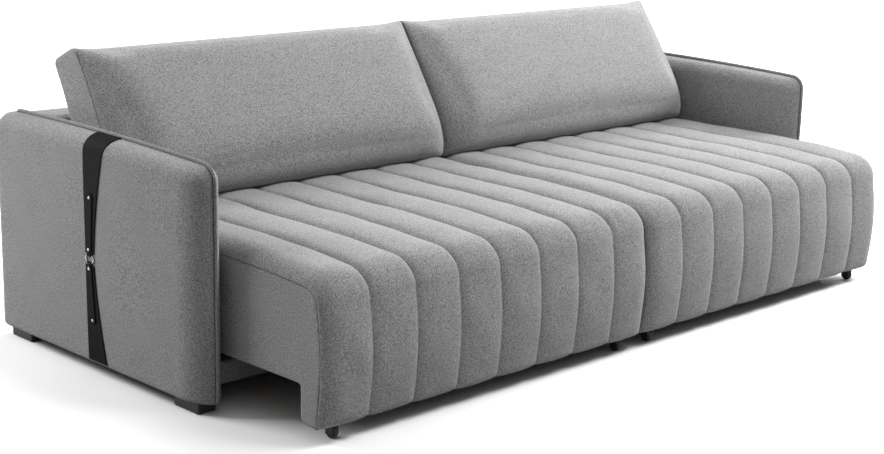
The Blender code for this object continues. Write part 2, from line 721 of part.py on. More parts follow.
def back_cushion(back, name, finishes):
    half = BACK_WIDTH / 2
    places = [-half + BACK_WIDTH * i / BACK_COLUMNS for i in range(BACK_COLUMNS + 1)]
    places += [-half + BACK_EDGE, half - BACK_EDGE]
    rings = []
    for x in sorted(places):
        share = abs(x) / half
        crown = BACK_CROWN * (1 - share ** 4)
        edge = BACK_EDGE if abs(x) > half - BACK_EDGE / 2 else 0.0
        ring = []
        for y, z in back_section(crown, edge):
            pull = BACK_DRAW_IN * math.sin(math.pi * min(max(z / BACK_HEIGHT, 0), 1))
            ring.append((x * (1 - pull / half), y, z))
        rings.append(ring)
    piece(f"{name}_back_cushion", loft(rings), back, finishes["fabric"], smooth=True)


def back_board(back, name, finishes):
    half = BACK_WIDTH / 2 - BACK_BOARD_INSET
    low = (-half, BACK_ROLL - BACK_BOARD + FIT, NOTCH_HEIGHT)
    board = block(low, (half, BACK_ROLL, BACK_BOARD_TOP - FIT))
    piece(f"{name}_back_board", board, back, finishes["timber"])


def hinge_moving_arm(back, name, x, finishes):
    """Cranked plate from the pivot to a flange on the rear of the back board."""
    near = BACK_ROLL + FIT
    far = near + HINGE_ARM_WIDTH
    low = HINGE_HUB
    high = NOTCH_HEIGHT + HINGE_FLANGE_HEIGHT
    outline = arc((0, 0), HINGE_HUB, 115, 330, 10)
    outline += [(far, low), (far, high), (near, high), (near, low + HINGE_ARM_WIDTH)]
    plate = prism_x(outline, 0, HINGE_PLATE)
    plate_piece = piece(f"{name}_hinge_moving_arm", plate, back, finishes["steel"], (x, 0, 0))
    half = HINGE_FLANGE_WIDTH / 2
    flange_low = (-half, near, NOTCH_HEIGHT + FIT)
    flange = block(flange_low, (half, near + HINGE_FLANGE, high))
    combine(plate_piece, tool(f"{name}_hinge_flange", flange, back, (x, 0, 0)), "UNION")
    hole = rod_x(HINGE_PIN + RUNNING_FIT, -HINGE_PLATE, 2 * HINGE_PLATE)
    combine(plate_piece, tool(f"{name}_hinge_hole", hole, back, (x, 0, 0)), "DIFFERENCE")


def hinge_fixed_arm(base, name, x, finishes):
    """Plate from a flange on the low back to the pivot, with the pivot pin in its end."""
    place = (x, PIVOT_SETBACK, PIVOT_HEIGHT)
    near = HINGE_REACH - FIT
    half = HINGE_BAR / 2
    outline = arc((0, 0), HINGE_HUB, 45, 315, 12) + [(near, -half), (near, half)]
    plate = prism_x(outline, -HINGE_PLATE - RUNNING_FIT, -RUNNING_FIT)
    plate_piece = piece(f"{name}_hinge_fixed_arm", plate, base, finishes["steel"], place)
    wide = HINGE_FLANGE_WIDTH / 2
    flange = block((-wide, near - HINGE_FLANGE, -HINGE_HUB), (wide, near, HINGE_HUB))
    combine(plate_piece, tool(f"{name}_hinge_foot", flange, base, place), "UNION")
    pin = rod_x(HINGE_PIN, -HINGE_PLATE - RUNNING_FIT + FIT, HINGE_PLATE + RUNNING_FIT)
    combine(plate_piece, tool(f"{name}_hinge_pin", pin, base, place), "UNION")


def back_module(base, name, side, finishes):
    pivot = (side * SEAT_MIDDLE, ARM_FRONT + PIVOT_SETBACK, PIVOT_HEIGHT)
    back = anchor(f"{name}_back", pivot, lean=-BACK_LEAN)
    back_cushion(back, name, finishes)
    back_board(back, name, finishes)
    for place, sign in (("outer", side), ("inner", -side)):
        x = sign * (BACK_WIDTH / 2 - HINGE_INSET)
        hinge_moving_arm(back, f"{name}_{place}", x, finishes)
        hinge_fixed_arm(base, f"{name}_{place}", side * SEAT_MIDDLE + x, finishes)


# The whole sofa


def build_sofa():
    clear_scene()
    finishes = {
        "fabric": finish("grey_fabric", (0.30, 0.30, 0.30), 0.9),
        "timber": finish("pine_timber", (0.46, 0.31, 0.17), 0.7),
        "webbing": finish("elastic_webbing", (0.05, 0.05, 0.05), 0.9),
        "leather": finish("black_leather", (0.016, 0.016, 0.017), 0.5),
        "plastic": finish("black_plastic", (0.012, 0.012, 0.013), 0.5),
        "rubber": finish("grey_rubber", (0.03, 0.03, 0.032), 0.6),
        "steel": finish("black_steel", (0.05, 0.05, 0.055), 0.45, 0.9),
        "chrome": finish("bright_chrome", (0.75, 0.75, 0.76), 0.15, 1.0),
    }
    base = anchor("base", (0, ARM_FRONT, 0))
    low_back(base, finishes)
    base_rails(base, finishes)
    feet(base, finishes)
    for name, side in SIDES:
        arm(base, name, side, finishes)
        straps(base, name, side, finishes)
        for place in ("outer", "inner"):
            slide_rail(base, name, side, place, finishes)
        seat_module(name, side, finishes)
        back_module(base, name, side, finishes)


build_sofa()
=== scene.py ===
"""Finish of the two-seat retractable sofa: melange fabric, leather, metal, timber and the studio.

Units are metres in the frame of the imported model: X runs along the sofa, -Y is its front and +Z is up.
"""
import json
import math

import bmesh
import bpy
import numpy as np
from mathutils import Matrix, Vector
from mathutils.bvhtree import BVHTree
from mathutils.geometry import delaunay_2d_cdt


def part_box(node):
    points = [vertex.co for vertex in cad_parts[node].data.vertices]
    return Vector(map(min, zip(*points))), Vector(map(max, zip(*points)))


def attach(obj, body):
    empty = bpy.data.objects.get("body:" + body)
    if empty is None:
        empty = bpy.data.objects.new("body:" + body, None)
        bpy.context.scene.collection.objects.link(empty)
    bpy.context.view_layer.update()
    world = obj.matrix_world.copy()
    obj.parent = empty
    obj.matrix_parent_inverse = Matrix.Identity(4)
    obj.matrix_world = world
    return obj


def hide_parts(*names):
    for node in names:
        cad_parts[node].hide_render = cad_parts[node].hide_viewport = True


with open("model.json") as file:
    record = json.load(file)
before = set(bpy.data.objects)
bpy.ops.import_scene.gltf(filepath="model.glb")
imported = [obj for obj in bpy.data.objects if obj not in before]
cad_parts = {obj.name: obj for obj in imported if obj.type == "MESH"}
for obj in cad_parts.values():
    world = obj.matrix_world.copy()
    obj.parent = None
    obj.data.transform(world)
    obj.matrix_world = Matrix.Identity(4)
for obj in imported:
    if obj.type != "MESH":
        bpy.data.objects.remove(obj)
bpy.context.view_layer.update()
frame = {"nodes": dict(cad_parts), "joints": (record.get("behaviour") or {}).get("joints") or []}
NODES = frame["nodes"]
JOINTS = {joint["name"]: joint for joint in frame["joints"]}
SIDES = (("left", -1), ("right", 1))

# View of the studio camera
IMAGE_WIDTH = 884
FOCAL_PIXELS = 1641
SENSOR_WIDTH = 36
CAMERA_PLACE = (-3.4370, -3.3210, 1.3685)
CAMERA_YAW = 0.7758
CAMERA_PITCH = 0.2339
CAMERA_ROLL = 0.0205

# Seat cushions and their side panels
SEAT_TRAVEL = 0.305
SEAT_CHANNELS = 8
CHANNEL_COLUMNS = 24
SEAM_DEPTH_TOP = 0.024
SEAM_DEPTH_FRONT = 0.0095
SEAM_PRESSED = 0.55
PRESSED_FROM = 0.42
PRESSED_RUN = 0.22
SEAM_ROUND = 0.50
SEAM_SHARPNESS = 10
SEAM_UNEVEN = 0.08
SEAM_WAVE = 0.30
HEM_PULL = 0.5
SKIRT_DEPTH = 0.105
SEAT_CLEARANCE = 0.026
FRONT_PAD = 0.055
FRONT_FALL = 0.014
FRONT_FALL_RUN = 0.330
FRONT_ROLL = 0.080
FRONT_BOW = 0.012
FRONT_INSET = 0.009
REAR_ROLL = 0.015
HEM_ROLL = 0.020
EDGE_ROLL = 0.055
EDGE_DROP_TOP = 0.039
EDGE_DROP_FRONT = 0.026
EDGE_TUCK = 0.0032
EDGE_TUCK_SHARES = (1.0, 0.75, 0.4)
EDGE_SINK = 0.8
SEAT_UNEVEN = 0.0012
SEAT_WAVE = 0.16
SEAT_UNDER_GAP = 0.0003
PROFILE_STEP = 0.0065
PROFILE_POINTS = 20
PANEL_RECESS = 0.0027
PANEL_PUFF = 0.0028
PANEL_ROUNDING = 0.014
PANEL_OVERHANG = 0.003
PANEL_LEG_CORNER = 0.020
PANEL_INNER_CORNER = 0.010
PANEL_SEAM_GAP = 0.0006
PANEL_HEM_STEP = 0.002
TOUCHING = 0.001
PANEL_STEP = 0.007
PANEL_RINGS = (0.003, 0.007, 0.012, 0.018)
PANEL_GRID = 0.022
PANEL_UNEVEN = 0.25
PANEL_WAVE = 0.20
WELD = 1e-7

# Creases about the front roll: how many on each channel from left to right, and the range of each measure
CREASES = {"left": (3, 1, 1, 2, 2, 3, 7, 8), "right": (6, 3, 1, 1, 1, 2, 2, 5)}
CREASE_ACROSS = (-0.050, 0.050)
CREASE_ALONG = (-0.030, 0.020)
CREASE_SLANT = (-0.30, 0.30)
CREASE_BOW = (-2.0, 2.0)
CREASE_LENGTH = (0.020, 0.040)
CREASE_WIDTH = (0.0035, 0.0060)
CREASE_DEPTH = (0.0008, 0.0020)

# Arms and straps
ARM_SEAM_SHARE = 0.45
ARM_EDGE_ROLL = 0.040
ARM_FRONT_ROLL = 0.085
ARM_CREST = 0.009
ARM_CREST_PLACE = 0.42
ARM_CREST_FALL = 0.039
ARM_FRONT_CORNER = 0.034
ARM_REAR_CORNER = 0.050
ARM_REAR_RIM = 0.45
ARM_REAR_RIM_CLOSED = 0.95
ARM_REAR_OPEN = 0.030
ARM_REAR_RIM_FROM = 0.075
ARM_REAR_RIM_RUN = 0.060
ARM_FOOT_ROLL = 0.014
ARM_FOOT_RIM = 0.80
ARM_OUTER_BULGE = 0.002
ARM_INNER_BULGE = 0.0008
ARM_FULLNESS = 0.5
ARM_UNEVEN = 0.35
ARM_WAVE = 0.35
ARM_ROWS = 76
ARM_COLUMNS = 110
FLANGE_HEIGHT = 0.009
FLANGE_THICKNESS = 0.0045
FLANGE_SINK = 0.006
FLANGE_FOOT_GAP = 0.004
FLANGE_STEP = 0.007
FLANGE_TAIL = 0.020
FLANGE_TAIL_SHARE = 0.25
FLANGE_SWAY = 0.0010
FLANGE_WAVE = 0.09
FLANGE_SEAM_LIFT = 0.0008
FLANGE_SEAM_SHARE = 0.6
FLANGE_SECTION = (
    (-0.5, -1.0), (-0.5, 0.55), (-0.36, 0.88), (0.0, 1.0), (0.36, 0.88), (0.5, 0.55), (0.5, -1.0),
)
STRAP_THICKNESS = 0.0025
STRAP_EDGE = 0.0007
STRAP_LIFT = 0.0004
STRAP_FOOT_GAP = 0.004
STRAP_START_GAP = 0.0008
STRAP_STEP = 0.006
STRAP_WAIST_WIDTH = 0.038
STRAP_FLARE = 0.050
STRAP_FLARE_RUN = 0.283
STRAP_FLARE_POWER = 1.5
TAB_LENGTH = 0.156
TAB_WIDTH = 0.022
TAB_THICKNESS = 0.003
TAB_END_GAP = 0.002
TAB_BEDDING = 0.98
TAB_END_ANGLE = 0.12
FOLD_WIDTH = 0.026
FOLD_SKIN = 0.0014
RIVET_RADIUS = 0.0042
RIVET_HEIGHT = 0.0022
RIVET_INSET = 0.013
RIVET_BEDDING = 0.0002
RIVET_WALL = 0.35
RIVET_WALL_TAPER = 0.98
RIVET_DOME_ANGLES = (20, 40, 58, 74, 86)
WIRE_SIDES = 14

# Low back and base rail
LOW_BACK_ROLL = 0.036
LOW_BACK_SKIN = 0.0055
LOW_BACK_RISE = 0.008
LOW_BACK_LIP = 0.020
LOW_BACK_LIP_ROLL = 0.006
LOW_BACK_HEM_ROLL = 0.004
LOW_BACK_FIT = 0.0002
LOW_BACK_STEP = 0.009
LOW_BACK_END_DROP = 0.0035
LOW_BACK_END_RUN = 0.018
LOW_BACK_UNEVEN = 0.0014
LOW_BACK_WAVE = 0.30
LOW_BACK_HOLLOW = 0.6
LOW_BACK_COLUMNS = 90
LOW_BACK_CROWDING = 1.5
RAIL_ROLL = 0.008
RAIL_STEP = 0.004
RAIL_UNEVEN = 0.018
RAIL_WAVE = 0.12
RAIL_COLUMNS = 90

# Back cushions, in their own frame: depth and height from the pivot
BACK_LEAN = math.radians(24)
BACK_FRONT_LINE = (
    (0.048, -0.069), (0.030, -0.087), (-0.012, -0.115), (-0.046, -0.129), (-0.074, -0.128),
    (-0.099, -0.118), (-0.119, -0.099), (-0.133, -0.068), (-0.138, -0.030), (-0.132, 0.020),
    (-0.116, 0.085), (-0.094, 0.160), (-0.071, 0.230), (-0.0545, 0.277), (-0.0415, 0.303),
    (-0.020, 0.317), (0.018, 0.321), (0.066, 0.320), (0.086, 0.309),
)
BACK_END_LINE = (
    (0.048, -0.069), (0.030, -0.085), (0.005, -0.101), (-0.014, -0.114), (-0.030, -0.124),
    (-0.042, -0.118), (-0.048, -0.098), (-0.054, -0.062), (-0.058, -0.023), (-0.057, 0.038),
    (-0.052, 0.110), (-0.046, 0.190), (-0.040, 0.250), (-0.035, 0.290), (-0.031, 0.322),
    (-0.0205, 0.3265), (0.016, 0.325), (0.078, 0.322), (0.088, 0.312),
)
BACK_LINE_POINTS = 6
BACK_TOP_PASSES = 14
BACK_BELLY_PASSES = 70
BACK_END_PASSES = 4
BACK_BELLY_TOP = 0.06
BACK_BELLY_FADE = 0.16
BACK_REAR = 0.084
BACK_END_ROLL = 0.110
BACK_END_WALL = 0.018
BACK_WALL_BLEND = 0.004
BACK_BOARD = 0.018
BACK_BOARD_TOP = 0.262
BACK_NOTCH = (
    (BACK_REAR, BACK_BOARD_TOP), (0.066, BACK_BOARD_TOP), (0.066, 0.088), (-0.036, 0.088),
    (-0.036, -0.036), (0.036, -0.036),
)
BACK_NOTCH_CLOSED = (
    (BACK_REAR, BACK_BOARD_TOP), (BACK_REAR, 0.200), (0.083, 0.120), (0.079, 0.060), (0.070, 0.000),
    (0.058, -0.042),
)
BACK_WIDEN = 0.003
BACK_SIDE_ROOM = 0.001
BACK_DRAW_IN = 0.003
BACK_DRAW_FOOT = -0.12
BACK_DRAW_RUN = 0.44
BACK_VOXEL = 0.008
BACK_SECTIONS = 64
HELD_DEPTH = 0.006
HELD_RISE = 0.03
HINGE_ROOM = (-0.044, 0.096)
BACK_SWELL_CAP = 0.024
BACK_SWELL_PASSES = 20
BACK_SMOOTH_PASSES = 3
BACK_SMOOTH_SHARE = 0.4
CLOTH_FRAMES = 20
CLOTH_SETTINGS = {
    "quality": 4, "mass": 0.3, "tension_stiffness": 18, "compression_stiffness": 18, "shear_stiffness": 6,
    "bending_stiffness": 0.6, "use_pressure": True, "uniform_pressure_force": 4.0,
}
GATHER_CORNER = (0.004, -0.050, -0.112)
GATHER_ANGLES = (14, 29, 44, 58, 73, 90)
GATHER_WIDTH = (4.0, 6.0)
GATHER_REACH = (0.035, 0.080)
GATHER_DEPTH = (0.0010, 0.0022)
REST_GAP = 0.0006
REST_NEAR = 0.002
SLIDE_STEPS = 16
ABOVE_ALL = 1.0
REAR_PANEL_FOOT = 0.142
REAR_PANEL_TOP = 0.288
REAR_PANEL_PUFF = 0.0032
REAR_PANEL_ROUNDING = 0.012
REAR_PANEL_INSET = 0.012
REAR_PANEL_GAP = 0.0004
REAR_PANEL_STEP = 0.008

# Seams
SEAM_CORD = 0.0011
SEAM_CORD_FINE = SEAM_CORD * 0.8
SEAM_CORD_SINK = SEAM_CORD * 0.9
SEAM_STEP = 0.006
END_SEAM_FOOT = 0.02
END_SEAM_LIFT = 0.0001
END_SEAM_STEP = 0.005
END_SEAM_PASSES = 4

# Caster wheels: half of the profile as shares of the half width and of the radius
WHEEL_BORE = 0.0045
WHEEL_STEPS = 56
WHEEL_SHARP_ANGLE = math.radians(38)
WHEEL_PROFILE = (
    (0.80, 0.0), (0.92, 0.28), (0.92, 0.37), (0.62, 0.44), (0.62, 0.62), (0.96, 0.68),
    (1.0, 0.75), (0.98, 0.83), (0.86, 0.93), (0.62, 0.98), (0.30, 1.0),
)

# Studio
FLOOR_REACH = 40
FLOOR_BOUNCE = 0.42
FLOOR_TONE = 0.95
FLOOR_SHADE = (1.35, 0.75)
FLOOR_FADE = 0.7
SKY_STRENGTH = 0.60
# Lamps: name, place, what it is turned to, width, depth and power in watts
LAMPS = (
    ("right_rear_key", (2.8, 1.9, 2.9), (0.1, 0.0, 0.4), 2.2, 2.2, 140),
    ("front_high_fill", (1.2, -2.2, 4.0), (0.2, 0.0, 0.4), 2.6, 1.6, 138),
    ("right_high_fill", (3.6, -1.2, 2.6), (0.7, 0.1, 0.5), 1.6, 1.6, 150),
    ("left_rear_fill", (-2.7, 2.2, 2.2), (-1.25, 0.2, 0.35), 1.6, 1.6, 98),
)

EVEN = np.linspace
RIPPLE_WAVES = 7


# Small tools for lines and meshes


def ease(share):
    """A smooth step from 0 to 1."""
    share = np.clip(share, 0.0, 1.0)
    return share * share * (3 - 2 * share)


def bulge(share):
    """Quarter of a circle: 0 at the edge, 1 from a share of 1 on."""
    return np.sqrt(1 - (1 - np.clip(share, 0.0, 1.0)) ** 2)


def arc(centre, radius, start, stop, steps):
    """Points on a circle from one angle to another, in degrees."""
    angles = np.radians(EVEN(start, stop, steps + 1))
    return [(centre[0] + radius * math.cos(a), centre[1] + radius * math.sin(a)) for a in angles]


def along(points):
    """Length along a line up to each of its points."""
    steps = np.linalg.norm(np.diff(points, axis=0), axis=1)
    return np.concatenate(([0.0], np.cumsum(steps)))


def eased(line, passes):
    """A line with its corners eased by the given number of passes, and its ends held."""
    for _ in range(passes):
        line[1:-1] = (line[:-2] + 2 * line[1:-1] + line[2:]) / 4
    return line


def resample(points, spacing, passes=0):
    """The same line with evenly spaced points and eased corners."""
    points = np.asarray(points, float)
    length = along(points)
    places = EVEN(0, length[-1], max(2, int(round(length[-1] / spacing)) + 1))
    line = np.stack([np.interp(places, length, points[:, i]) for i in range(points.shape[1])], axis=1)
    return eased(line, passes)


def unit(vectors):
    """The same directions with a length of 1."""
    return vectors / np.linalg.norm(vectors, axis=1)[:, None]


def closed_tangent(outline):
    """Direction of a closed outline at each of its points."""
    return unit(np.roll(outline, -1, axis=0) - np.roll(outline, 1, axis=0))


def left_of(directions):
    """Directions a quarter turn to the left of the given ones."""
    return np.stack([-directions[:, 1], directions[:, 0]], axis=1)


def round_angles(count):
    """Angles of evenly spaced points on a circle."""
    return EVEN(0, 2 * math.pi, count, endpoint=False)


def ripple(u, v, seed, wave):
    """Soft unevenness between about -1 and 1, from a few sine waves of about the given length."""
    draw = np.random.default_rng(seed)
    total = np.zeros(np.broadcast(u, v).shape)
    for _ in range(RIPPLE_WAVES):
        angle = draw.uniform(0, 2 * math.pi)
        length = wave * draw.uniform(0.7, 1.5)
        phase = draw.uniform(0, 2 * math.pi)
        total += np.sin(2 * math.pi * (u * math.cos(angle) + v * math.sin(angle)) / length + phase)
    return total / math.sqrt(RIPPLE_WAVES / 2) / 2


def make(name, points, faces, smooth=True):
    """A mesh object from points and faces, with its faces turned outward."""
    data = bpy.data.meshes.new(name)
    data.from_pydata([tuple(map(float, point)) for point in points], [], faces)
    mesh = bmesh.new()
    mesh.from_mesh(data)
    bmesh.ops.recalc_face_normals(mesh, faces=mesh.faces)
    mesh.to_mesh(data)
    mesh.free()
    if smooth:
        data.shade_smooth()
    item = bpy.data.objects.new(name, data)
    bpy.context.scene.collection.objects.link(item)
    return item


def strip_faces(rows, columns):
    """Faces between rows of points; each row's end is joined to its start."""
    faces = []
    for row in range(rows - 1):
        near = row * columns
        for column in range(columns):
            after = (column + 1) % columns
            faces.append((near + column, near + after, near + columns + after, near + columns + column))
    return faces


def loft(name, rings, smooth=True):
    """A closed skin over rings of points, with a cap at each end."""
    rings = np.asarray(rings, float)
    rows, columns, _ = rings.shape
    faces = strip_faces(rows, columns)
    faces.append(tuple(range(columns)))
    faces.append(tuple(range((rows - 1) * columns, rows * columns)))
    return make(name, rings.reshape(-1, 3), faces, smooth)


def hoop(name, rings):
    """A skin over rings of points, with the last ring joined to the first."""
    rings = np.asarray(rings, float)
    rows, columns, _ = rings.shape
    faces = strip_faces(rows, columns)
    last = (rows - 1) * columns
    for column in range(columns):
        after = (column + 1) % columns
        faces.append((last + column, last + after, after, column))
    return make(name, rings.reshape(-1, 3), faces)


def tube(name, line, radius, sides=8):
    """A round cord along a line of points, narrowed at both ends."""
    line = np.asarray(line, float)
    radii = np.full(len(line), radius)
    radii[[0, -1]] *= 0.3
    tangent = unit(np.gradient(line, axis=0))
    rings = []
    side = Vector(tangent[0]).orthogonal().normalized()
    for point, direction, r in zip(line, tangent, radii):
        direction = Vector(direction)
        side = (side - direction * side.dot(direction)).normalized()
        up = direction.cross(side)
        ring = [side * (r * math.cos(a)) + up * (r * math.sin(a)) for a in round_angles(sides)]
        rings.append([Vector(point) + offset for offset in ring])
    return loft(name, rings)


def turned(name, profile, centre, axis, steps):
    """A piece turned about an axis through its centre from a profile of (along, radius) points."""
    turn = Vector((1, 0, 0)).rotation_difference(Vector(axis)).to_matrix()
    rings = []
    for place, radius in profile:
        ring = [Vector((place, radius * math.cos(a), radius * math.sin(a))) for a in round_angles(steps)]
        rings.append([turn @ point + Vector(centre) for point in ring])
    return loft(name, rings)


def point_values(mesh, kind="co"):
    """Place of each point of a mesh, or its normal."""
    values = np.empty(len(mesh.vertices) * 3)
    mesh.vertices.foreach_get(kind, values)
    return values.reshape(-1, 3)


def coordinates(item):
    return point_values(item.data)


def set_coordinates(item, points):
    item.data.vertices.foreach_set("co", np.asarray(points, float).ravel())
    item.data.update()


def surface_tree(item):
    """The faces of a piece, to be asked for what lies near or under a point."""
    faces = [tuple(face.vertices) for face in item.data.polygons]
    return BVHTree.FromPolygons([vertex.co for vertex in item.data.vertices], faces)


def dress(item, body, slot, finish, *nodes):
    """Give a piece its finish and its place on a body, and hide the nodes that it stands for."""
    item.data.materials.clear()
    item.data.materials.append(finish)
    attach(item, body)
    if nodes:
        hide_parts(*nodes)
    return item


# Shader tools


class Signal:
    """A shader socket with arithmetic: each operator adds its Math node."""

    def __init__(self, finish, socket):
        self.finish = finish
        self.socket = socket

    def reckon(self, operation, first, second):
        return self.finish.node("ShaderNodeMath", {"operation": operation}, {0: first, 1: second})

    def __add__(self, other):
        return self.reckon("ADD", self, other)

    __radd__ = __add__

    def __sub__(self, other):
        return self.reckon("SUBTRACT", self, other)

    def __rsub__(self, other):
        return self.reckon("SUBTRACT", other, self)

    def __mul__(self, other):
        return self.reckon("MULTIPLY", self, other)

    __rmul__ = __mul__

    def __pow__(self, other):
        return self.reckon("POWER", self, other)


class Nodes:
    """A node tree that is being wired."""

    def __init__(self, tree):
        self.tree = tree

    def node(self, kind, settings=None, inputs=None, output=0):
        """Add a node: its settings first, then the values or links of its sockets."""
        made = self.tree.nodes.new(kind)
        for key, value in (settings or {}).items():
            setattr(made, key, value)
        for key, value in (inputs or {}).items():
            self.feed(made.inputs[key], value)
        if made.outputs:
            return Signal(self, made.outputs[output])

    def feed(self, socket, value):
        if isinstance(value, Signal):
            self.tree.links.new(value.socket, socket)
        else:
            socket.default_value = value


class Finish(Nodes):
    """A material made of nodes, with a Principled shader at its end."""

    def __init__(self, name, **constants):
        self.material = bpy.data.materials.new(name)
        self.material.use_nodes = True
        super().__init__(self.material.node_tree)
        self.shader = self.tree.nodes["Principled BSDF"]
        for socket, value in constants.items():
            self.shader.inputs[socket.replace("_", " ")].default_value = value

    def place(self, stretch=(1, 1, 1)):
        """Position on the piece in metres, stretched for a directional pattern."""
        position = self.node("ShaderNodeTexCoord", output="Object")
        return self.node("ShaderNodeMapping", None, {"Vector": position, "Scale": stretch})

    def noise(self, size, detail=2.0, rough=0.5, place=None):
        """Cloudy values around 0.5, with blotches of about the given size in metres."""
        inputs = {"Vector": place or self.place(), "Scale": 1 / size, "Detail": detail, "Roughness": rough}
        return self.node("ShaderNodeTexNoise", None, inputs)

    def pores(self, size):
        """Soft distance to scattered points, as the pores of a hide have it."""
        inputs = {"Vector": self.place(), "Scale": 1 / size}
        return self.node("ShaderNodeTexVoronoi", {"feature": "SMOOTH_F1"}, inputs)

    def blend(self, share, first, second):
        """A colour between two colours."""
        settings = {"data_type": "RGBA"}
        inputs = {0: share, 6: (*first, 1), 7: (*second, 1)}
        return self.node("ShaderNodeMix", settings, inputs, 2)

    def bump(self, height, distance, strength=1.0):
        inputs = {"Height": height, "Distance": distance, "Strength": strength}
        return self.node("ShaderNodeBump", None, inputs)

    def set(self, **links):
        for socket, value in links.items():
            self.feed(self.shader.inputs[socket.replace("_", " ")], value)
        return self.material


def grey(tone):
    return (tone, tone, tone)


# Finishes


def melange_fabric(name, dark, light):
    """Soft upholstery cloth spun from light and dark fibres."""
    cloth = Finish(name, Sheen_Weight=0.25, Sheen_Roughness=0.45, Specular_IOR_Level=0.15)
    fibre = cloth.noise(0.0014, 2.0, 0.6)
    mottle = cloth.noise(0.0033, 2.0, 0.6)
    cloud = cloth.noise(0.09, 2.0, 0.5)
    mix = 0.5 + (fibre - 0.5) * 1.2 + (mottle - 0.5) * 4.4 + (cloud - 0.5) * 0.3
    height = fibre * 0.5 + mottle
    return cloth.set(
        Base_Color=cloth.blend(mix, dark, light),
        Roughness=0.88 + (mottle - 0.5) * 0.16,
        Normal=cloth.bump(height, 0.0012, 0.6),
    )


def strap_leather():
    """Black strap leather with fine pores."""
    hide = Finish("strap_leather", Specular_IOR_Level=0.05)
    pore = hide.pores(0.0016)
    crease = hide.noise(0.011, 4.0, 0.6)
    rub = hide.noise(0.05, 3.0, 0.6)
    return hide.set(
        Base_Color=hide.blend((rub - 0.35) * 1.6, (0.0050, 0.0050, 0.0052), (0.0095, 0.0095, 0.010)),
        Roughness=0.66 + (crease - 0.5) * 0.2 + (rub - 0.5) * 0.14,
        Normal=hide.bump(pore * 0.8 + crease * 0.5, 0.0005, 0.5),
    )


def moulded_plastic():
    """Black plastic with a fine spark-eroded grain."""
    mould = Finish("moulded_plastic", Specular_IOR_Level=0.4)
    grain = mould.noise(0.0009, 3.0, 0.6)
    scuff = mould.noise(0.03, 4.0, 0.65)
    return mould.set(
        Base_Color=mould.blend((scuff - 0.4) * 1.8, (0.009, 0.009, 0.0095), (0.018, 0.018, 0.019)),
        Roughness=0.45 + (scuff - 0.5) * 0.3,
        Normal=mould.bump(grain, 0.0003, 0.5),
    )


def wheel_rubber():
    """Dark grey tyre rubber with a little floor dust."""
    tyre = Finish("wheel_rubber", Specular_IOR_Level=0.35)
    grain = tyre.noise(0.0012, 3.0, 0.6)
    dust = tyre.noise(0.012, 4.0, 0.7)
    return tyre.set(
        Base_Color=tyre.blend((dust - 0.42) * 2.2, (0.016, 0.016, 0.017), (0.045, 0.044, 0.042)),
        Roughness=0.62 + (dust - 0.5) * 0.3,
        Normal=tyre.bump(grain, 0.0003, 0.4),
    )


def coated_steel():
    """Black powder-coated steel."""
    coat = Finish("coated_steel", Metallic=0.35, Specular_IOR_Level=0.5)
    peel = coat.noise(0.0018, 2.0, 0.5)
    wear = coat.noise(0.02, 4.0, 0.7)
    return coat.set(
        Base_Color=coat.blend((wear - 0.45) * 2, (0.016, 0.016, 0.018), (0.040, 0.040, 0.043)),
        Roughness=0.42 + (wear - 0.5) * 0.35,
        Normal=coat.bump(peel, 0.0002, 0.5),
    )


def bright_metal():
    """Nickel-plated rings and rivets with fine rub marks."""
    plate = Finish("bright_metal", Metallic=1.0)
    rub = plate.noise(0.002, 4.0, 0.7, plate.place((1, 1, 6)))
    haze = plate.noise(0.01, 3.0, 0.6)
    return plate.set(
        Base_Color=plate.blend(haze, (0.26, 0.26, 0.265), (0.40, 0.40, 0.405)),
        Roughness=0.22 + (haze - 0.4) * 0.25,
        Normal=plate.bump(rub, 0.0001, 0.35),
    )


def pine_timber(name, stretch):
    """Planed pine; the stretch is small along the grain."""
    board = Finish(name, Specular_IOR_Level=0.35)
    place = board.place(stretch)
    wander = board.noise(0.07, 3.0, 0.5, place)
    inputs = {"Vector": place, "Scale": 26.0, "Distortion": 3.2, "Detail": 3.0, "Detail Scale": 1.4}
    settings = {"wave_type": "RINGS", "rings_direction": "SPHERICAL"}
    rings = board.node("ShaderNodeTexWave", settings, inputs, 1)
    pore = board.noise(0.0016, 3.0, 0.6, place)
    tone = rings * 0.55 + wander * 0.5 + (pore - 0.5) * 0.5
    return board.set(
        Base_Color=board.blend(tone, (0.36, 0.25, 0.14), (0.23, 0.135, 0.064)),
        Roughness=0.56 + (pore - 0.5) * 0.3,
        Normal=board.bump(pore + rings * 0.4, 0.0005, 0.4),
    )


def elastic_webbing():
    """Black elastic webbing with ribs woven both ways."""
    band = Finish("elastic_webbing", Sheen_Weight=0.15)
    inputs = {"Vector": band.place(), "Scale": 150.0}
    weave = 1.0
    for direction in ("X", "Y"):
        settings = {"wave_type": "BANDS", "wave_profile": "SIN", "bands_direction": direction}
        weave = band.node("ShaderNodeTexWave", settings, inputs, 1) * weave
    fluff = band.noise(0.002, 3.0, 0.6)
    return band.set(
        Base_Color=band.blend(weave * 0.7 + fluff * 0.3, (0.014, 0.014, 0.015), (0.060, 0.058, 0.055)),
        Roughness=0.8 + (fluff - 0.5) * 0.2,
        Normal=band.bump(weave + fluff * 0.3, 0.0006, 0.6),
    )


FABRIC_DARK = grey(0.150)
FABRIC_LIGHT = grey(0.330)
FABRIC = melange_fabric("melange_fabric", FABRIC_DARK, FABRIC_LIGHT)
# The seam cords take a far darker grey than the cloth: painted shade that draws the dark shadow line along
# each seam.
SEAM_SHADOW_FABRIC = melange_fabric("seam_shadow_fabric", grey(0.045), grey(0.100))
LEATHER = strap_leather()
PLASTIC = moulded_plastic()
RUBBER = wheel_rubber()
STEEL = coated_steel()
METAL = bright_metal()
TIMBER_ALONG_X = pine_timber("pine_along_x", (0.12, 1, 1))
TIMBER_ALONG_Y = pine_timber("pine_along_y", (1, 0.12, 1))
WEBBING = elastic_webbing()


# Seats


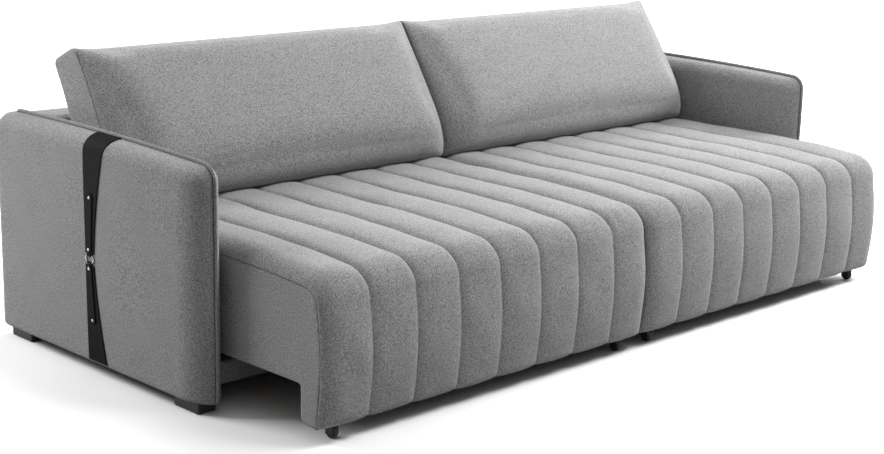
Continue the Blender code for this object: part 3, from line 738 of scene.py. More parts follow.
def seat_profile(low, high):
    """Ridge line of a seat from the rear over the top and front to the hem: places, normals, lengths."""
    face = low.y + FRONT_BOW + FRONT_INSET
    roll = (face + FRONT_ROLL, high.z - FRONT_FALL - FRONT_ROLL)
    hem = low.z + HEM_ROLL
    line = arc((high.y - REAR_ROLL, high.z - REAR_ROLL), REAR_ROLL, 0, 90, 8)
    for share in EVEN(0, 1, PROFILE_POINTS):
        line.append((roll[0] + FRONT_FALL_RUN * (1 - share), high.z - FRONT_FALL * share ** 2))
    line += arc(roll, FRONT_ROLL, 90, 180, 16)
    for share in EVEN(0, 1, PROFILE_POINTS)[1:]:
        line.append((face - FRONT_BOW * math.sin(math.pi * share), roll[1] + (hem - roll[1]) * share))
    line += arc((face + HEM_ROLL, hem), HEM_ROLL, 180, 270, 8)[1:]
    line = resample(line, PROFILE_STEP, 3)
    normal = -left_of(unit(np.gradient(line, axis=0)))
    return line, normal, along(line)


def channel_columns(half):
    """Places across a cushion, close together at its seams, with the drop of seam and edge at each."""
    step = EVEN(-1, 1, CHANNEL_COLUMNS + 1)
    offset = np.sign(step) * (1 - (1 - np.abs(step)) ** 2)
    width = 2 * half / SEAT_CHANNELS
    places = []
    seams = []
    for channel in range(SEAT_CHANNELS):
        middle = -half + (channel + 0.5) * width
        for share in offset if channel == 0 else offset[1:]:
            outer = (channel == 0 and share < 0) or (channel == SEAT_CHANNELS - 1 and share > 0)
            places.append(middle + share * width / 2)
            drop = SEAM_ROUND * share ** 2 + (1 - SEAM_ROUND) * share ** SEAM_SHARPNESS
            seams.append(0.0 if outer else drop)
    places = np.array(places)
    edges = 1 - bulge((half - np.abs(places)) / EDGE_ROLL)
    return places, np.array(seams), edges


def wrinkle(across, down, draw, x, place):
    """One soft crease of a cushion that runs along a channel over the front roll."""
    x = x + draw.uniform(*CREASE_ACROSS)
    place = place + draw.uniform(*CREASE_ALONG)
    slant = draw.uniform(*CREASE_SLANT)
    bow = draw.uniform(*CREASE_BOW)
    length = draw.uniform(*CREASE_LENGTH)
    width = draw.uniform(*CREASE_WIDTH)
    depth = draw.uniform(*CREASE_DEPTH)
    run = down - place
    side = (across - x - slant * run - bow * run ** 2) / width
    return depth * np.exp(-side ** 2 - (run / length) ** 2)


def seat_cushion(name, side):
    """Channelled cushion that rolls over the front of a seat, with small creases about the roll."""
    node = f"{name}_seat_cushion"
    low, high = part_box(node)
    middle = (low.x + high.x) / 2
    half = (high.x - low.x) / 2 - PANEL_SEAM_GAP
    line, normal, length = seat_profile(low, high)
    places, seams, edges = channel_columns(half)
    across, down = np.meshgrid(places, length, indexing="ij")
    seed = 20 + side
    seam = seams[:, None] * (1 + SEAM_UNEVEN * ripple(across, down, seed, SEAM_WAVE))
    seam *= 1 - SEAM_PRESSED * ease((PRESSED_FROM - (high.y - line[:, 0])) / PRESSED_RUN)
    uneven = ripple(across, down, seed + 5, SEAT_WAVE) + 1
    sink = SEAT_UNEVEN * uneven * (1 - seams[:, None]) ** 0.5
    draw = np.random.default_rng(seed + 9)
    roll_place = length[np.argmin(np.abs(normal[:, 0] + normal[:, 1]))]
    for channel, count in enumerate(CREASES[name]):
        for _ in range(count):
            x = -half + (channel + 0.5) * 2 * half / SEAT_CHANNELS
            sink += wrinkle(across, down, draw, x, roll_place)
    top_drop = sink + SEAM_DEPTH_TOP * seam + EDGE_DROP_TOP * edges[:, None]
    front_drop = sink + SEAM_DEPTH_FRONT * seam + EDGE_DROP_FRONT * edges[:, None]
    hem_lift = HEM_PULL * (sink + SEAM_DEPTH_FRONT * seam)
    y = line[:, 0] + front_drop * np.maximum(-normal[:, 0], 0)
    z = line[:, 1] - top_drop * np.maximum(normal[:, 1], 0) + hem_lift * np.maximum(-normal[:, 1], 0)
    x = np.repeat(places[:, None], len(line), axis=1)
    skin = np.stack([x, y, z], axis=2)
    first_edge = tucked_edge(skin[0], normal, 1)
    last_edge = tucked_edge(skin[-1], normal, -1)[::-1]
    skin = np.concatenate([first_edge, skin, last_edge])
    inner = low.y + FRONT_PAD
    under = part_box(f"{name}_seat_webbing")[1].z + SEAT_UNDER_GAP
    below = [(inner, low.z), (inner, under), (high.y, under)]
    closing = np.array([[(column[0, 0], by, bz) for by, bz in below] for column in skin])
    rings = np.concatenate([skin, closing], axis=1)
    rings[:, :, 0] += middle
    cushion = loft(f"{name}_channelled_seat_cushion", rings)
    dress(cushion, f"{name}_seat", "fabric", FABRIC, node)
    return cushion


def tucked_edge(column, normal, inward):
    """Extra columns at a cushion's side that turn in to the seam, outermost first."""
    columns = []
    for share in EDGE_TUCK_SHARES:
        turned_in = column.copy()
        turned_in[:, 0] += inward * EDGE_TUCK * share ** 2
        sunk = EDGE_TUCK * EDGE_SINK * share
        turned_in[:, 1] += sunk * np.maximum(-normal[:, 0], 0)
        turned_in[:, 2] -= sunk * np.maximum(normal[:, 1], 0)
        columns.append(turned_in)
    return np.array(columns)


def panel_seam(low, high):
    """Line of (y, z) points where a side panel meets the rolled cover, from the rear to the hem."""
    line, normal, _ = seat_profile(low, high)
    gap = EDGE_TUCK * 0.5 + PANEL_SEAM_GAP
    seam_y = line[:, 0] + (EDGE_DROP_FRONT + gap) * np.maximum(-normal[:, 0], 0)
    seam_z = line[:, 1] - (EDGE_DROP_TOP + gap) * np.maximum(normal[:, 1], 0)
    return np.stack([seam_y, seam_z], axis=1)


def panel_outline(name, low, high):
    """Outline of a seat's side panel as (y, z): under the rolled cover, with its leg at the front."""
    frame_low, frame_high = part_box(f"{name}_seat_frame")
    leg_foot = frame_low.z - PANEL_OVERHANG
    leg_rear = low.y + SKIRT_DEPTH + PANEL_OVERHANG
    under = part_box("base_front_rail")[1].z + SEAT_CLEARANCE
    seam = panel_seam(low, high)
    seam = seam[(seam[:, 1] > leg_foot + TOUCHING) & (seam[:, 0] < frame_high.y - REAR_ROLL)]
    outline = [tuple(point) for point in seam]
    outline.append((seam[-1, 0] + PANEL_HEM_STEP, leg_foot))
    corner = PANEL_LEG_CORNER
    outline += arc((leg_rear - corner, leg_foot + corner), corner, 270, 360, 7)
    corner = PANEL_INNER_CORNER
    outline += arc((leg_rear + corner, under - corner), corner, 180, 90, 5)
    outline += [(frame_high.y, under), (frame_high.y, seam[0, 1])]
    outline.append(outline[0])
    return resample(outline, PANEL_STEP)[:-1]


def inset_points(outline):
    """Points inside an outline: rings close to its edge, then an even grid."""
    after = np.roll(outline, -1, axis=0)
    area = np.sum(outline[:, 0] * after[:, 1] - after[:, 0] * outline[:, 1]) / 2
    inward = left_of(closed_tangent(outline)) * math.copysign(1, area)
    points = [outline + inward * ring for ring in PANEL_RINGS]
    low = outline.min(axis=0)
    high = outline.max(axis=0)
    columns = np.arange(low[0], high[0], PANEL_GRID)
    rows = np.arange(low[1], high[1], PANEL_GRID)
    points.append(np.stack(np.meshgrid(columns, rows), axis=2).reshape(-1, 2))
    points = np.vstack(points)
    keep = inside(points, outline) & (edge_distance(points, outline) > PANEL_RINGS[0] * 0.8)
    return points[keep]


def inside(points, outline):
    """Whether each point lies inside a closed outline."""
    result = np.zeros(len(points), bool)
    for (ay, az), (by, bz) in zip(outline, np.roll(outline, -1, axis=0)):
        crosses = (az > points[:, 1]) != (bz > points[:, 1])
        if az != bz:
            result ^= crosses & (points[:, 0] < (by - ay) * (points[:, 1] - az) / (bz - az) + ay)
    return result


def edge_distance(points, outline):
    """Distance from each point to a closed outline."""
    nearest = np.full(len(points), np.inf)
    for start, stop in zip(outline, np.roll(outline, -1, axis=0)):
        edge = stop - start
        share = np.clip(((points - start) @ edge) / (edge @ edge), 0, 1)
        nearest = np.minimum(nearest, np.linalg.norm(points - start - share[:, None] * edge, axis=1))
    return nearest


def padded_panel(name, outline, puff, rounding, seed, matrix):
    """A closed thin pad over an outline of (a, b) points; the matrix places (a, b, height) points."""
    points = np.vstack([outline, inset_points(outline)])
    count = len(outline)
    edges = [(i, (i + 1) % count) for i in range(count)]
    flat, _, triangles, _, _, _ = delaunay_2d_cdt([Vector(p) for p in points], edges, [], 1, WELD)
    flat = np.array([tuple(point) for point in flat])
    height = puff * bulge(edge_distance(flat, outline) / rounding)
    height *= 1 + PANEL_UNEVEN * ripple(flat[:, 0], flat[:, 1], seed, PANEL_WAVE)
    top = [matrix @ Vector((a, b, h)) for (a, b), h in zip(flat, height)]
    base = [matrix @ Vector((a, b, 0.0)) for a, b in flat]
    lift = len(flat)
    faces = [tuple(face) for face in triangles]
    sides = dict.fromkeys((face[i], face[(i + 1) % 3]) for face in faces for i in range(3))
    faces += [tuple(i + lift for i in reversed(face)) for face in triangles]
    faces += [(b, a, a + lift, b + lift) for a, b in sides if (b, a) not in sides]
    return make(name, top + base, faces)


def side_panels(name, side):
    """Plain fabric panels on both sides of a seat, under its cushion's rolled edge, with their seams."""
    low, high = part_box(f"{name}_seat_cushion")
    outline = panel_outline(name, low, high)
    seam = panel_seam(low, high)
    seam = resample(seam[seam[:, 0] < high.y - REAR_ROLL], SEAM_STEP)
    faces = {-1: low.x, 1: high.x}
    for place, outward in (("outer", side), ("inner", -side)):
        base = faces[outward] - outward * PANEL_RECESS
        matrix = Matrix(((0, 0, outward, base), (1, 0, 0, 0), (0, 1, 0, 0), (0, 0, 0, 1)))
        panel_name = f"{name}_{place}_seat_side_panel"
        panel = padded_panel(panel_name, outline, PANEL_PUFF, PANEL_ROUNDING, 40 + side, matrix)
        dress(panel, f"{name}_seat", "fabric", FABRIC)
        cord_x = faces[outward] - outward * SEAM_CORD_SINK
        cord_line = [(cord_x, y, z) for y, z in seam]
        cord = tube(f"{name}_{place}_seat_side_seam", cord_line, SEAM_CORD_FINE)
        # The cord's dark grey is painted shade along the seam between the side panel and the rolled cover.
        dress(cord, f"{name}_seat", "fabric", SEAM_SHADOW_FABRIC)


# Arms


class ArmForm:
    """Shape of one arm: two padded panels that meet in a flange along the top and the front."""

    def __init__(self, name, side):
        self.low, self.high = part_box(f"{name}_arm_cover")
        self.beam_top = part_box("low_back_frame")[1].z
        self.side = side
        self.thickness = self.high.x - self.low.x
        inner = self.low.x if side > 0 else self.high.x
        self.seam_x = inner + side * ARM_SEAM_SHARE * self.thickness

    def front_at(self, z):
        """Y of the front outline at a height."""
        rise = np.clip((z - self.high.z + ARM_FRONT_CORNER) / ARM_FRONT_CORNER, 0, 1)
        return self.low.y + ARM_FRONT_CORNER * (1 - np.sqrt(1 - rise ** 2))

    def rear_at(self, z):
        """Y of the rear outline at a height."""
        rise = np.clip((z - self.high.z + ARM_REAR_CORNER) / ARM_REAR_CORNER, 0, 1)
        return self.high.y - ARM_REAR_CORNER * (1 - np.sqrt(1 - rise ** 2))

    def top_at(self, y):
        """Height of the outline at a place along the arm."""
        drop = 0.0
        for ends, radius in ((y - self.low.y, ARM_FRONT_CORNER), (self.high.y - y, ARM_REAR_CORNER)):
            short = np.clip((radius - ends) / radius, 0, 1)
            drop = drop + radius * (1 - np.sqrt(1 - short ** 2))
        return self.high.z - drop

    def edge_roll(self, y, z):
        """0 on the front, top and rear outline, 1 inside the rolled edges."""
        front = bulge((y - self.front_at(z)) / ARM_FRONT_ROLL)
        top = bulge((self.top_at(y) - z) / ARM_EDGE_ROLL)
        rear = bulge((self.rear_at(z) - y) / ARM_EDGE_ROLL)
        return front * top * rear

    def crested(self, item):
        """Bend the top of a piece of the arm: highest towards the rear and lower at the front."""
        points = coordinates(item)
        crest = ARM_CREST - ARM_CREST_FALL * (points[:, 1] - ARM_CREST_PLACE) ** 2
        share = (points[:, 2] - self.low.z) / (self.high.z - self.low.z)
        points[:, 2] += crest * np.maximum(share, 0) ** 3
        set_coordinates(item, points)
        return item

    def half_thickness(self, y, z, outer):
        """Thickness of one half at a place on the arm's side; the inner half closes on the low back."""
        share = 1 - ARM_SEAM_SHARE if outer else ARM_SEAM_SHARE
        closed = 0.0 if outer else ease((self.beam_top + ARM_REAR_OPEN - z) / ARM_REAR_OPEN)
        rim = ARM_REAR_RIM + (ARM_REAR_RIM_CLOSED - ARM_REAR_RIM) * closed
        rim = rim * ease((y - self.high.y + ARM_REAR_RIM_FROM) / ARM_REAR_RIM_RUN)
        body = rim + (1 - rim) * self.edge_roll(y, z)
        foot = ARM_FOOT_RIM + (1 - ARM_FOOT_RIM) * bulge((z - self.low.z) / ARM_FOOT_ROLL)
        swell = ARM_OUTER_BULGE if outer else ARM_INNER_BULGE
        a = np.clip((y - self.low.y) / (self.high.y - self.low.y), 0, 1)
        b = np.clip((z - self.low.z) / (self.high.z - self.low.z), 0, 1)
        soft = np.sin(math.pi * a) * np.sin(math.pi * b)
        uneven = ARM_FULLNESS + ARM_UNEVEN * ripple(y, z, 60 + self.side + 2 * outer, ARM_WAVE)
        return share * self.thickness * body * foot + swell * 2 * soft * uneven

    def surface_x(self, y, z, outer):
        """X of the arm's outer or inner side."""
        direction = self.side if outer else -self.side
        return self.seam_x + direction * self.half_thickness(y, z, outer)


def crowded(start, stop, count, power=1.9):
    """Places between two ends, close together towards both of them."""
    step = EVEN(-1, 1, count)
    return start + (stop - start) * (0.5 + 0.5 * np.sign(step) * (1 - (1 - np.abs(step)) ** power))


def arm_cover(name, side):
    """Padded cover of an arm, with its flange and straps."""
    form = ArmForm(name, side)
    low, high = form.low, form.high
    heights = crowded(low.z, high.z, ARM_ROWS)
    shares = crowded(0.0, 1.0, ARM_COLUMNS)
    rings = []
    for z in heights:
        y = form.front_at(z) + (form.rear_at(z) - form.front_at(z)) * shares
        outer = np.stack([form.surface_x(y, z, True), y, np.full_like(y, z)], axis=1)
        inner = np.stack([form.surface_x(y, z, False), y, np.full_like(y, z)], axis=1)
        rings.append(np.concatenate([outer, inner[::-1]]))
    cover = form.crested(loft(f"{name}_arm_padding", rings))
    dress(cover, "base", "fabric", FABRIC, f"{name}_arm_cover")
    arm_flange(name, form)
    arm_straps(name, form)


def flange_path(form):
    """Line along an arm's front and top where its panels meet, with the direction away from the arm."""
    low, high = form.low, form.high
    corner = ARM_FRONT_CORNER
    line = [(low.y, low.z + FLANGE_FOOT_GAP), (low.y, high.z - corner)]
    line += arc((low.y + corner, high.z - corner), corner, 180, 90, 12)[1:]
    line += [(high.y - ARM_REAR_CORNER, high.z)]
    line = resample(line, FLANGE_STEP, 2)
    return line, left_of(unit(np.gradient(line, axis=0)))


def arm_flange(name, form):
    """Sewn flange that stands along the seam of an arm."""
    line, out = flange_path(form)
    length = along(line)
    tail = FLANGE_TAIL_SHARE + (1 - FLANGE_TAIL_SHARE) * bulge((length[-1] - length) / FLANGE_TAIL)
    wave = FLANGE_SWAY * ripple(length, np.zeros_like(length), 70 + form.side, FLANGE_WAVE)
    rings = []
    for (y, z), (oy, oz), end, sway in zip(line, out, tail, wave):
        ring = []
        for across, up in FLANGE_SECTION:
            rise = FLANGE_HEIGHT * up * end if up > 0 else -FLANGE_SINK
            lean = sway * max(up, 0)
            ring.append((form.seam_x + FLANGE_THICKNESS * across + lean, y + oy * rise, z + oz * rise))
        rings.append(ring)
    flange = form.crested(loft(f"{name}_arm_flange", rings))
    dress(flange, "base", "fabric", FABRIC)
    # Dark cords either side of the flange: their grey is painted shade in the grooves beside it.
    for place, across in (("outer", form.side), ("inner", -form.side)):
        x = form.seam_x + across * (FLANGE_THICKNESS / 2 + SEAM_CORD * FLANGE_SEAM_SHARE)
        groove = [(x, y, z) for y, z in line + out * FLANGE_SEAM_LIFT]
        cord = form.crested(tube(f"{name}_arm_{place}_flange_seam", groove, SEAM_CORD))
        dress(cord, "base", "fabric", SEAM_SHADOW_FABRIC)


def strap_line(form, y):
    """Line down an arm's outer panel from its flange to its foot, as (x, z), with outward normals."""
    drop = form.high.z - form.low.z - STRAP_FOOT_GAP
    heights = form.high.z - drop * EVEN(0, 1, 240) ** 2
    x = form.surface_x(np.full_like(heights, y), heights, True)
    keep = np.abs(x - form.seam_x) > FLANGE_THICKNESS / 2 + STRAP_START_GAP
    line = resample(np.stack([x[keep], heights[keep]], axis=1), STRAP_STEP, 1)
    normal = left_of(unit(np.gradient(line, axis=0)))
    return line, normal * np.sign(normal[len(normal) // 2, 0] * form.side)


def strap_body(name, line, normal, fronts, rears, thickness):
    """A leather strap on a line of (x, z) places between its front and rear edge, with eased edges."""
    rings = []
    wall = thickness - STRAP_EDGE
    for (x, z), (nx, nz), front, rear in zip(line, normal, fronts, rears):
        section = [(front, 0.0), (front, wall), (front + STRAP_EDGE, thickness)]
        section += [(rear - STRAP_EDGE, thickness), (rear, wall), (rear, 0.0)]
        rings.append([(x + nx * lift, y, z + nz * lift) for y, lift in section])
    return loft(name, rings, smooth=False)


def arm_straps(name, form):
    """Upper and lower leather strap with their riveted tabs, and the metal loop between them."""
    ring_low, ring_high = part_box(f"{name}_strap_ring")
    middle = (ring_low.y + ring_high.y) / 2
    waist = (ring_low.z + ring_high.z) / 2
    line, normal = strap_line(form, middle)
    lifted = line + normal * STRAP_LIFT
    reach = (ring_high.z - ring_low.z) / 2 + STRAP_LIFT
    wire = (ring_high.x - ring_low.x) / 2
    face_x = float(form.surface_x(np.array(middle), np.array(waist), True))
    bar_x = face_x + form.side * (wire + STRAP_LIFT)
    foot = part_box(f"{name}_strap_lower")[0].z
    length = along(lifted)
    run = np.abs(length - np.interp(-waist, -lifted[:, 1], length))
    rears = np.full(len(lifted), middle + STRAP_WAIST_WIDTH / 2)
    fronts = rears - STRAP_WAIST_WIDTH - STRAP_FLARE * (run / STRAP_FLARE_RUN) ** STRAP_FLARE_POWER
    spans = (
        ("upper", lifted[:, 1] > waist + reach, 1),
        ("lower", (lifted[:, 1] < waist - reach) & (lifted[:, 1] > foot), -1),
    )
    for part, keep, direction in spans:
        edges = fronts[keep], rears[keep]
        strap_name = f"{name}_{part}_leather_strap"
        strap = strap_body(strap_name, lifted[keep], normal[keep], *edges, STRAP_THICKNESS)
        dress(form.crested(strap), "base", "leather", LEATHER, f"{name}_strap_{part}")
        start = waist + direction * (reach + TAB_END_GAP)
        stop = start + direction * TAB_LENGTH
        strap_tab(f"{name}_{part}", form, lifted, normal, (fronts + rears) / 2, start, stop)
        bar = waist + direction * (reach - wire - STRAP_LIFT)
        fold_line = [(bar_x, y, bar) for y in EVEN(middle - FOLD_WIDTH / 2, middle + FOLD_WIDTH / 2, 9)]
        fold = tube(f"{name}_{part}_strap_fold", fold_line, wire + FOLD_SKIN, WIRE_SIDES)
        dress(form.crested(fold), "base", "leather", LEATHER)
    strap_loop(name, form, Vector((bar_x, middle, waist)))


def strap_tab(name, form, line, normal, middles, start, stop):
    """Narrow raised tab along the middle of a strap, with round ends and a rivet at each."""
    order = np.argsort(line[:, 1])
    low_z = min(start, stop)
    high_z = max(start, stop)
    half = TAB_WIDTH / 2
    round_end = half * (1 - np.cos(EVEN(TAB_END_ANGLE, math.pi / 2, 9)))
    straight = EVEN(low_z + half, high_z - half, 22)[1:-1]
    heights = np.concatenate([low_z + round_end, straight, high_z - round_end[::-1]])
    x = np.interp(heights, line[order, 1], line[order, 0])
    nx = np.interp(heights, line[order, 1], normal[order, 0])
    nz = np.interp(heights, line[order, 1], normal[order, 1])
    middle = np.interp(heights, line[order, 1], middles[order])
    inset = np.minimum(heights - low_z, high_z - heights)
    halves = half * bulge(inset / half)
    out = np.stack([nx, nz], axis=1)
    base = np.stack([x, heights], axis=1) + out * STRAP_THICKNESS * TAB_BEDDING
    tab = strap_body(f"{name}_strap_tab", base, out, middle - halves, middle + halves, TAB_THICKNESS)
    dress(form.crested(tab), "base", "leather", LEATHER)
    for place, height in (("low", low_z + RIVET_INSET), ("high", high_z - RIVET_INSET)):
        i = int(np.argmin(np.abs(heights - height)))
        axis = Vector((nx[i], 0, nz[i]))
        centre = Vector((base[i, 0], middle[i], base[i, 1])) + axis * (TAB_THICKNESS - RIVET_BEDDING)
        dome = [(0.0, RIVET_RADIUS), (RIVET_HEIGHT * RIVET_WALL, RIVET_RADIUS * RIVET_WALL_TAPER)]
        for angle in np.radians(RIVET_DOME_ANGLES):
            rise = RIVET_WALL + (1 - RIVET_WALL) * math.sin(angle)
            dome.append((RIVET_HEIGHT * rise, RIVET_RADIUS * math.cos(angle)))
        rivet = turned(f"{name}_strap_rivet_{place}", dome, centre, axis, 24)
        dress(form.crested(rivet), "base", "chrome", METAL)


def strap_loop(name, form, middle):
    """Wire loop with round ends that joins the two straps."""
    low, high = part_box(f"{name}_strap_ring")
    wire = (high.x - low.x) / 2
    end = (high.z - low.z) / 2 - wire
    run = (high.y - low.y) / 2 - wire - end
    path = arc((run, 0), end, -90, 90, 20) + arc((-run, 0), end, 90, 270, 20)
    rings = []
    for a, b in path:
        out = Vector((0, a - math.copysign(min(abs(a), run), a), b)).normalized()
        centre = middle + Vector((0, a, b))
        section = [out * math.cos(t) + Vector((math.sin(t), 0, 0)) for t in round_angles(WIRE_SIDES)]
        rings.append([centre + wire * offset for offset in section])
    loop = form.crested(hoop(f"{name}_strap_loop", rings))
    dress(loop, "base", "chrome", METAL, f"{name}_strap_ring")


# Low back and base rail


def low_back():
    """Padded cover of the low back: rolled top beam and a plain rear panel."""
    low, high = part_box("low_back_cover")
    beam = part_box("low_back_frame")[1].z
    roll, lip, hem = LOW_BACK_ROLL, LOW_BACK_LIP_ROLL, LOW_BACK_HEM_ROLL
    cad = NODES["low_back_cover"].data
    beam_under = min(v.co.z for v in cad.vertices if v.co.y < low.y + TOUCHING)
    frame_front = low.y + LOW_BACK_LIP
    rear_inner = high.y - LOW_BACK_SKIN
    top = high.z + LOW_BACK_RISE
    outline = [(frame_front, beam_under), (low.y + lip, beam_under)]
    outline += arc((low.y + lip, beam_under + lip), lip, 270, 180, 3)[1:]
    outline += arc((low.y + roll, top - roll), roll, 180, 90, 12)
    outline += arc((high.y - roll, top - roll), roll, 90, 0, 12)
    outline += [(high.y, low.z + hem)] + arc((high.y - hem, low.z + hem), hem, 0, -90, 3)[1:]
    outline.append((rear_inner, low.z))
    outline += [(rear_inner, beam + LOW_BACK_FIT), (frame_front, beam + LOW_BACK_FIT)]
    outline.append(outline[0])
    line = resample(outline, LOW_BACK_STEP)[:-1]
    shown = (line[:, 0] < frame_front - hem) | (line[:, 0] > rear_inner + hem) | (line[:, 1] > beam + lip)
    outward = left_of(closed_tangent(line))
    rings = []
    for x in crowded(low.x, high.x, LOW_BACK_COLUMNS, LOW_BACK_CROWDING):
        inset = LOW_BACK_END_DROP * (1 - bulge(min(x - low.x, high.x - x) / LOW_BACK_END_RUN))
        wave = ripple(x + 0 * line[:, 0], line[:, 0] + line[:, 1], 80, LOW_BACK_WAVE)
        soft = LOW_BACK_UNEVEN * (wave - LOW_BACK_HOLLOW) - inset
        moved = line + outward * (soft * shown)[:, None]
        rings.append([(x, y, z) for y, z in moved])
    cover = dress(loft("low_back_padding", rings), "base", "fabric", FABRIC, "low_back_cover")


def base_front_rail():
    """Fabric-wrapped rail under the front of the sofa."""
    low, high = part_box("base_front_rail")
    r = RAIL_ROLL
    outline = arc((low.y + r, high.z - r), r, 180, 90, 5) + arc((high.y - r, high.z - r), r, 90, 0, 5)
    outline += arc((high.y - r, low.z + r), r, 0, -90, 5) + arc((low.y + r, low.z + r), r, 270, 180, 5)
    outline.append(outline[0])
    line = resample(outline, RAIL_STEP)[:-1]
    middle = line.mean(axis=0)
    rings = []
    for x in EVEN(low.x, high.x, RAIL_COLUMNS):
        soft = 1 - RAIL_UNEVEN * (1 + ripple(x + 0 * line[:, 0], line[:, 1], 85, RAIL_WAVE)) / 2
        rings.append([(x, y, z) for y, z in middle + (line - middle) * soft[:, None]])
    rail = dress(loft("base_rail_wrap", rings), "base", "fabric", FABRIC, "base_front_rail")


# Casters


def caster_wheels(name):
    """Tyre with round shoulders on a dished hub, for each caster of a seat."""
    for place in ("outer", "inner"):
        node = f"{name}_{place}_caster_wheel"
        low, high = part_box(node)
        centre = (low + high) / 2
        radius = (high.z - low.z) / 2
        half = (high.x - low.x) / 2
        outer = [(share * half, max(r * radius, WHEEL_BORE)) for share, r in WHEEL_PROFILE]
        profile = [(-a, r) for a, r in outer] + [(a, r) for a, r in reversed(outer)]
        rings = []
        for a in round_angles(WHEEL_STEPS):
            rings.append([centre + Vector((p, r * math.cos(a), r * math.sin(a))) for p, r in profile])
        wheel = hoop(f"{name}_{place}_caster_tyre", rings)
        wheel.data.set_sharp_from_angle(angle=WHEEL_SHARP_ANGLE)
        dress(wheel, node, "rubber", RUBBER, node)


# Back cushions


def back_line(corners, passes):
    """Evenly shared points on a line of corners, so that two lines with as many corners can be blended."""
    corners = np.array(corners)
    spans = len(corners) - 1
    shares = EVEN(0, spans, BACK_LINE_POINTS * spans + 1)
    line = np.stack([np.interp(shares, range(spans + 1), corners[:, i]) for i in range(2)], axis=1)
    return eased(line, passes)


def back_lines():
    """Lines from a back cushion's lip over the front and top to the rear: in its middle and at its ends."""
    front = back_line(BACK_FRONT_LINE, BACK_TOP_PASSES)
    belly = back_line(BACK_FRONT_LINE, BACK_BELLY_PASSES)
    high = ease((front[:, 1] - BACK_BELLY_TOP) / BACK_BELLY_FADE)[:, None]
    return belly * (1 - high) + front * high, back_line(BACK_END_LINE, BACK_END_PASSES)


def back_ring(lines, x, half):
    """Section of a back cushion at a place across it, as points in the cushion's own frame."""
    from_end = half - abs(x)
    near_end = 1 - float(bulge(from_end / BACK_END_ROLL))
    front = lines[0] * (1 - near_end) + lines[1] * near_end
    closed = float(ease((BACK_END_WALL - from_end) / BACK_WALL_BLEND + 0.5))
    notch = np.array(BACK_NOTCH) * (1 - closed) + np.array(BACK_NOTCH_CLOSED) * closed
    section = np.concatenate([front, notch])
    rise = np.clip((section[:, 1] - BACK_DRAW_FOOT) / BACK_DRAW_RUN, 0, 1)
    pull = BACK_DRAW_IN * np.sin(math.pi * rise)
    return np.stack([x * (1 - pull / half), section[:, 0], section[:, 1]], axis=1)


def back_shell(name, half):
    """Starting shape of a back cushion in its own frame."""
    lines = back_lines()
    return loft(name, [back_ring(lines, x, half) for x in crowded(-half, half, BACK_SECTIONS)])


def apply_modifier(item):
    """Keep what a piece's modifiers make of it as its own mesh."""
    graph = bpy.context.evaluated_depsgraph_get()
    data = bpy.data.meshes.new_from_object(item.evaluated_get(graph))
    item.modifiers.clear()
    item.data = data


def remesh(item, voxel):
    """Turn a piece into one even mesh."""
    modifier = item.modifiers.new("Remesh", "REMESH")
    modifier.mode = "VOXEL"
    modifier.voxel_size = voxel
    modifier.use_smooth_shade = True
    apply_modifier(item)


def evened(item, values, passes):
    """Values at the points of a mesh, each drawn towards those of its neighbours."""
    ends = np.empty(len(item.data.edges) * 2, np.int32)
    item.data.edges.foreach_get("vertices", ends)
    first, second = ends.reshape(-1, 2).T
    size = len(values)
    count = np.bincount(ends, minlength=size)
    for _ in range(passes):
        total = np.bincount(first, values[second], size) + np.bincount(second, values[first], size)
        values = (values + total / count) / 2
    return values


def swell(item, held):
    """Blow a closed skin up like a filled cushion; the held points stay where they are."""
    rest = coordinates(item)
    group = item.vertex_groups.new(name="held")
    group.add([int(i) for i in np.flatnonzero(held)], 1.0, "REPLACE")
    cloth = item.modifiers.new("Cloth", "CLOTH")
    for setting, value in CLOTH_SETTINGS.items():
        setattr(cloth.settings, setting, value)
    cloth.settings.effector_weights.gravity = 0
    cloth.settings.vertex_group_mass = "held"
    cloth.collision_settings.use_collision = False
    cloth.point_cache.frame_start = 1
    cloth.point_cache.frame_end = CLOTH_FRAMES
    scene = bpy.context.scene
    for step in range(1, CLOTH_FRAMES + 1):
        scene.frame_set(step)
    blown = item.evaluated_get(bpy.context.evaluated_depsgraph_get())
    moved = point_values(blown.to_mesh())
    blown.to_mesh_clear()
    item.modifiers.clear()
    item.vertex_groups.clear()
    scene.frame_set(1)
    outward = point_values(item.data, "normal")
    push = np.maximum(np.sum((moved - rest) * outward, axis=1), 0)
    push = np.where(held, push, evened(item, push, BACK_SWELL_PASSES))
    push = BACK_SWELL_CAP * np.tanh(push / BACK_SWELL_CAP)
    set_coordinates(item, rest + outward * push[:, None])


def gathers(points, corner, side, seed):
    """Depth of the small folds that fan out from a bottom corner of a back cushion."""
    away = points - np.array(corner)
    run = np.linalg.norm(away, axis=1)
    turn = np.arctan2(away[:, 2], -side * away[:, 0])
    draw = np.random.default_rng(seed)
    total = np.zeros(len(points))
    for angle in np.radians(GATHER_ANGLES):
        width = np.radians(draw.uniform(*GATHER_WIDTH))
        half_reach = draw.uniform(*GATHER_REACH) / 2
        fold = np.exp(-((turn - angle) / width) ** 2 - ((run - half_reach) / half_reach) ** 2)
        total += draw.uniform(*GATHER_DEPTH) * fold
    return total


def rest_on_seat(cushion, seat):
    """Lift the points of a back cushion that lie below what the seat under it takes up as it slides."""
    tree = surface_tree(seat)
    points = coordinates(cushion)
    top = coordinates(seat)[:, 2].max()
    for i in np.flatnonzero(points[:, 2] < top + REST_NEAR):
        for slide in EVEN(0, SEAT_TRAVEL, SLIDE_STEPS):
            above = Vector((points[i, 0], points[i, 1] - slide, ABOVE_ALL))
            hit = tree.ray_cast(above, Vector((0, 0, -1)))[0]
            if hit:
                points[i, 2] = max(points[i, 2], hit.z + REST_GAP)
    set_coordinates(cushion, points)


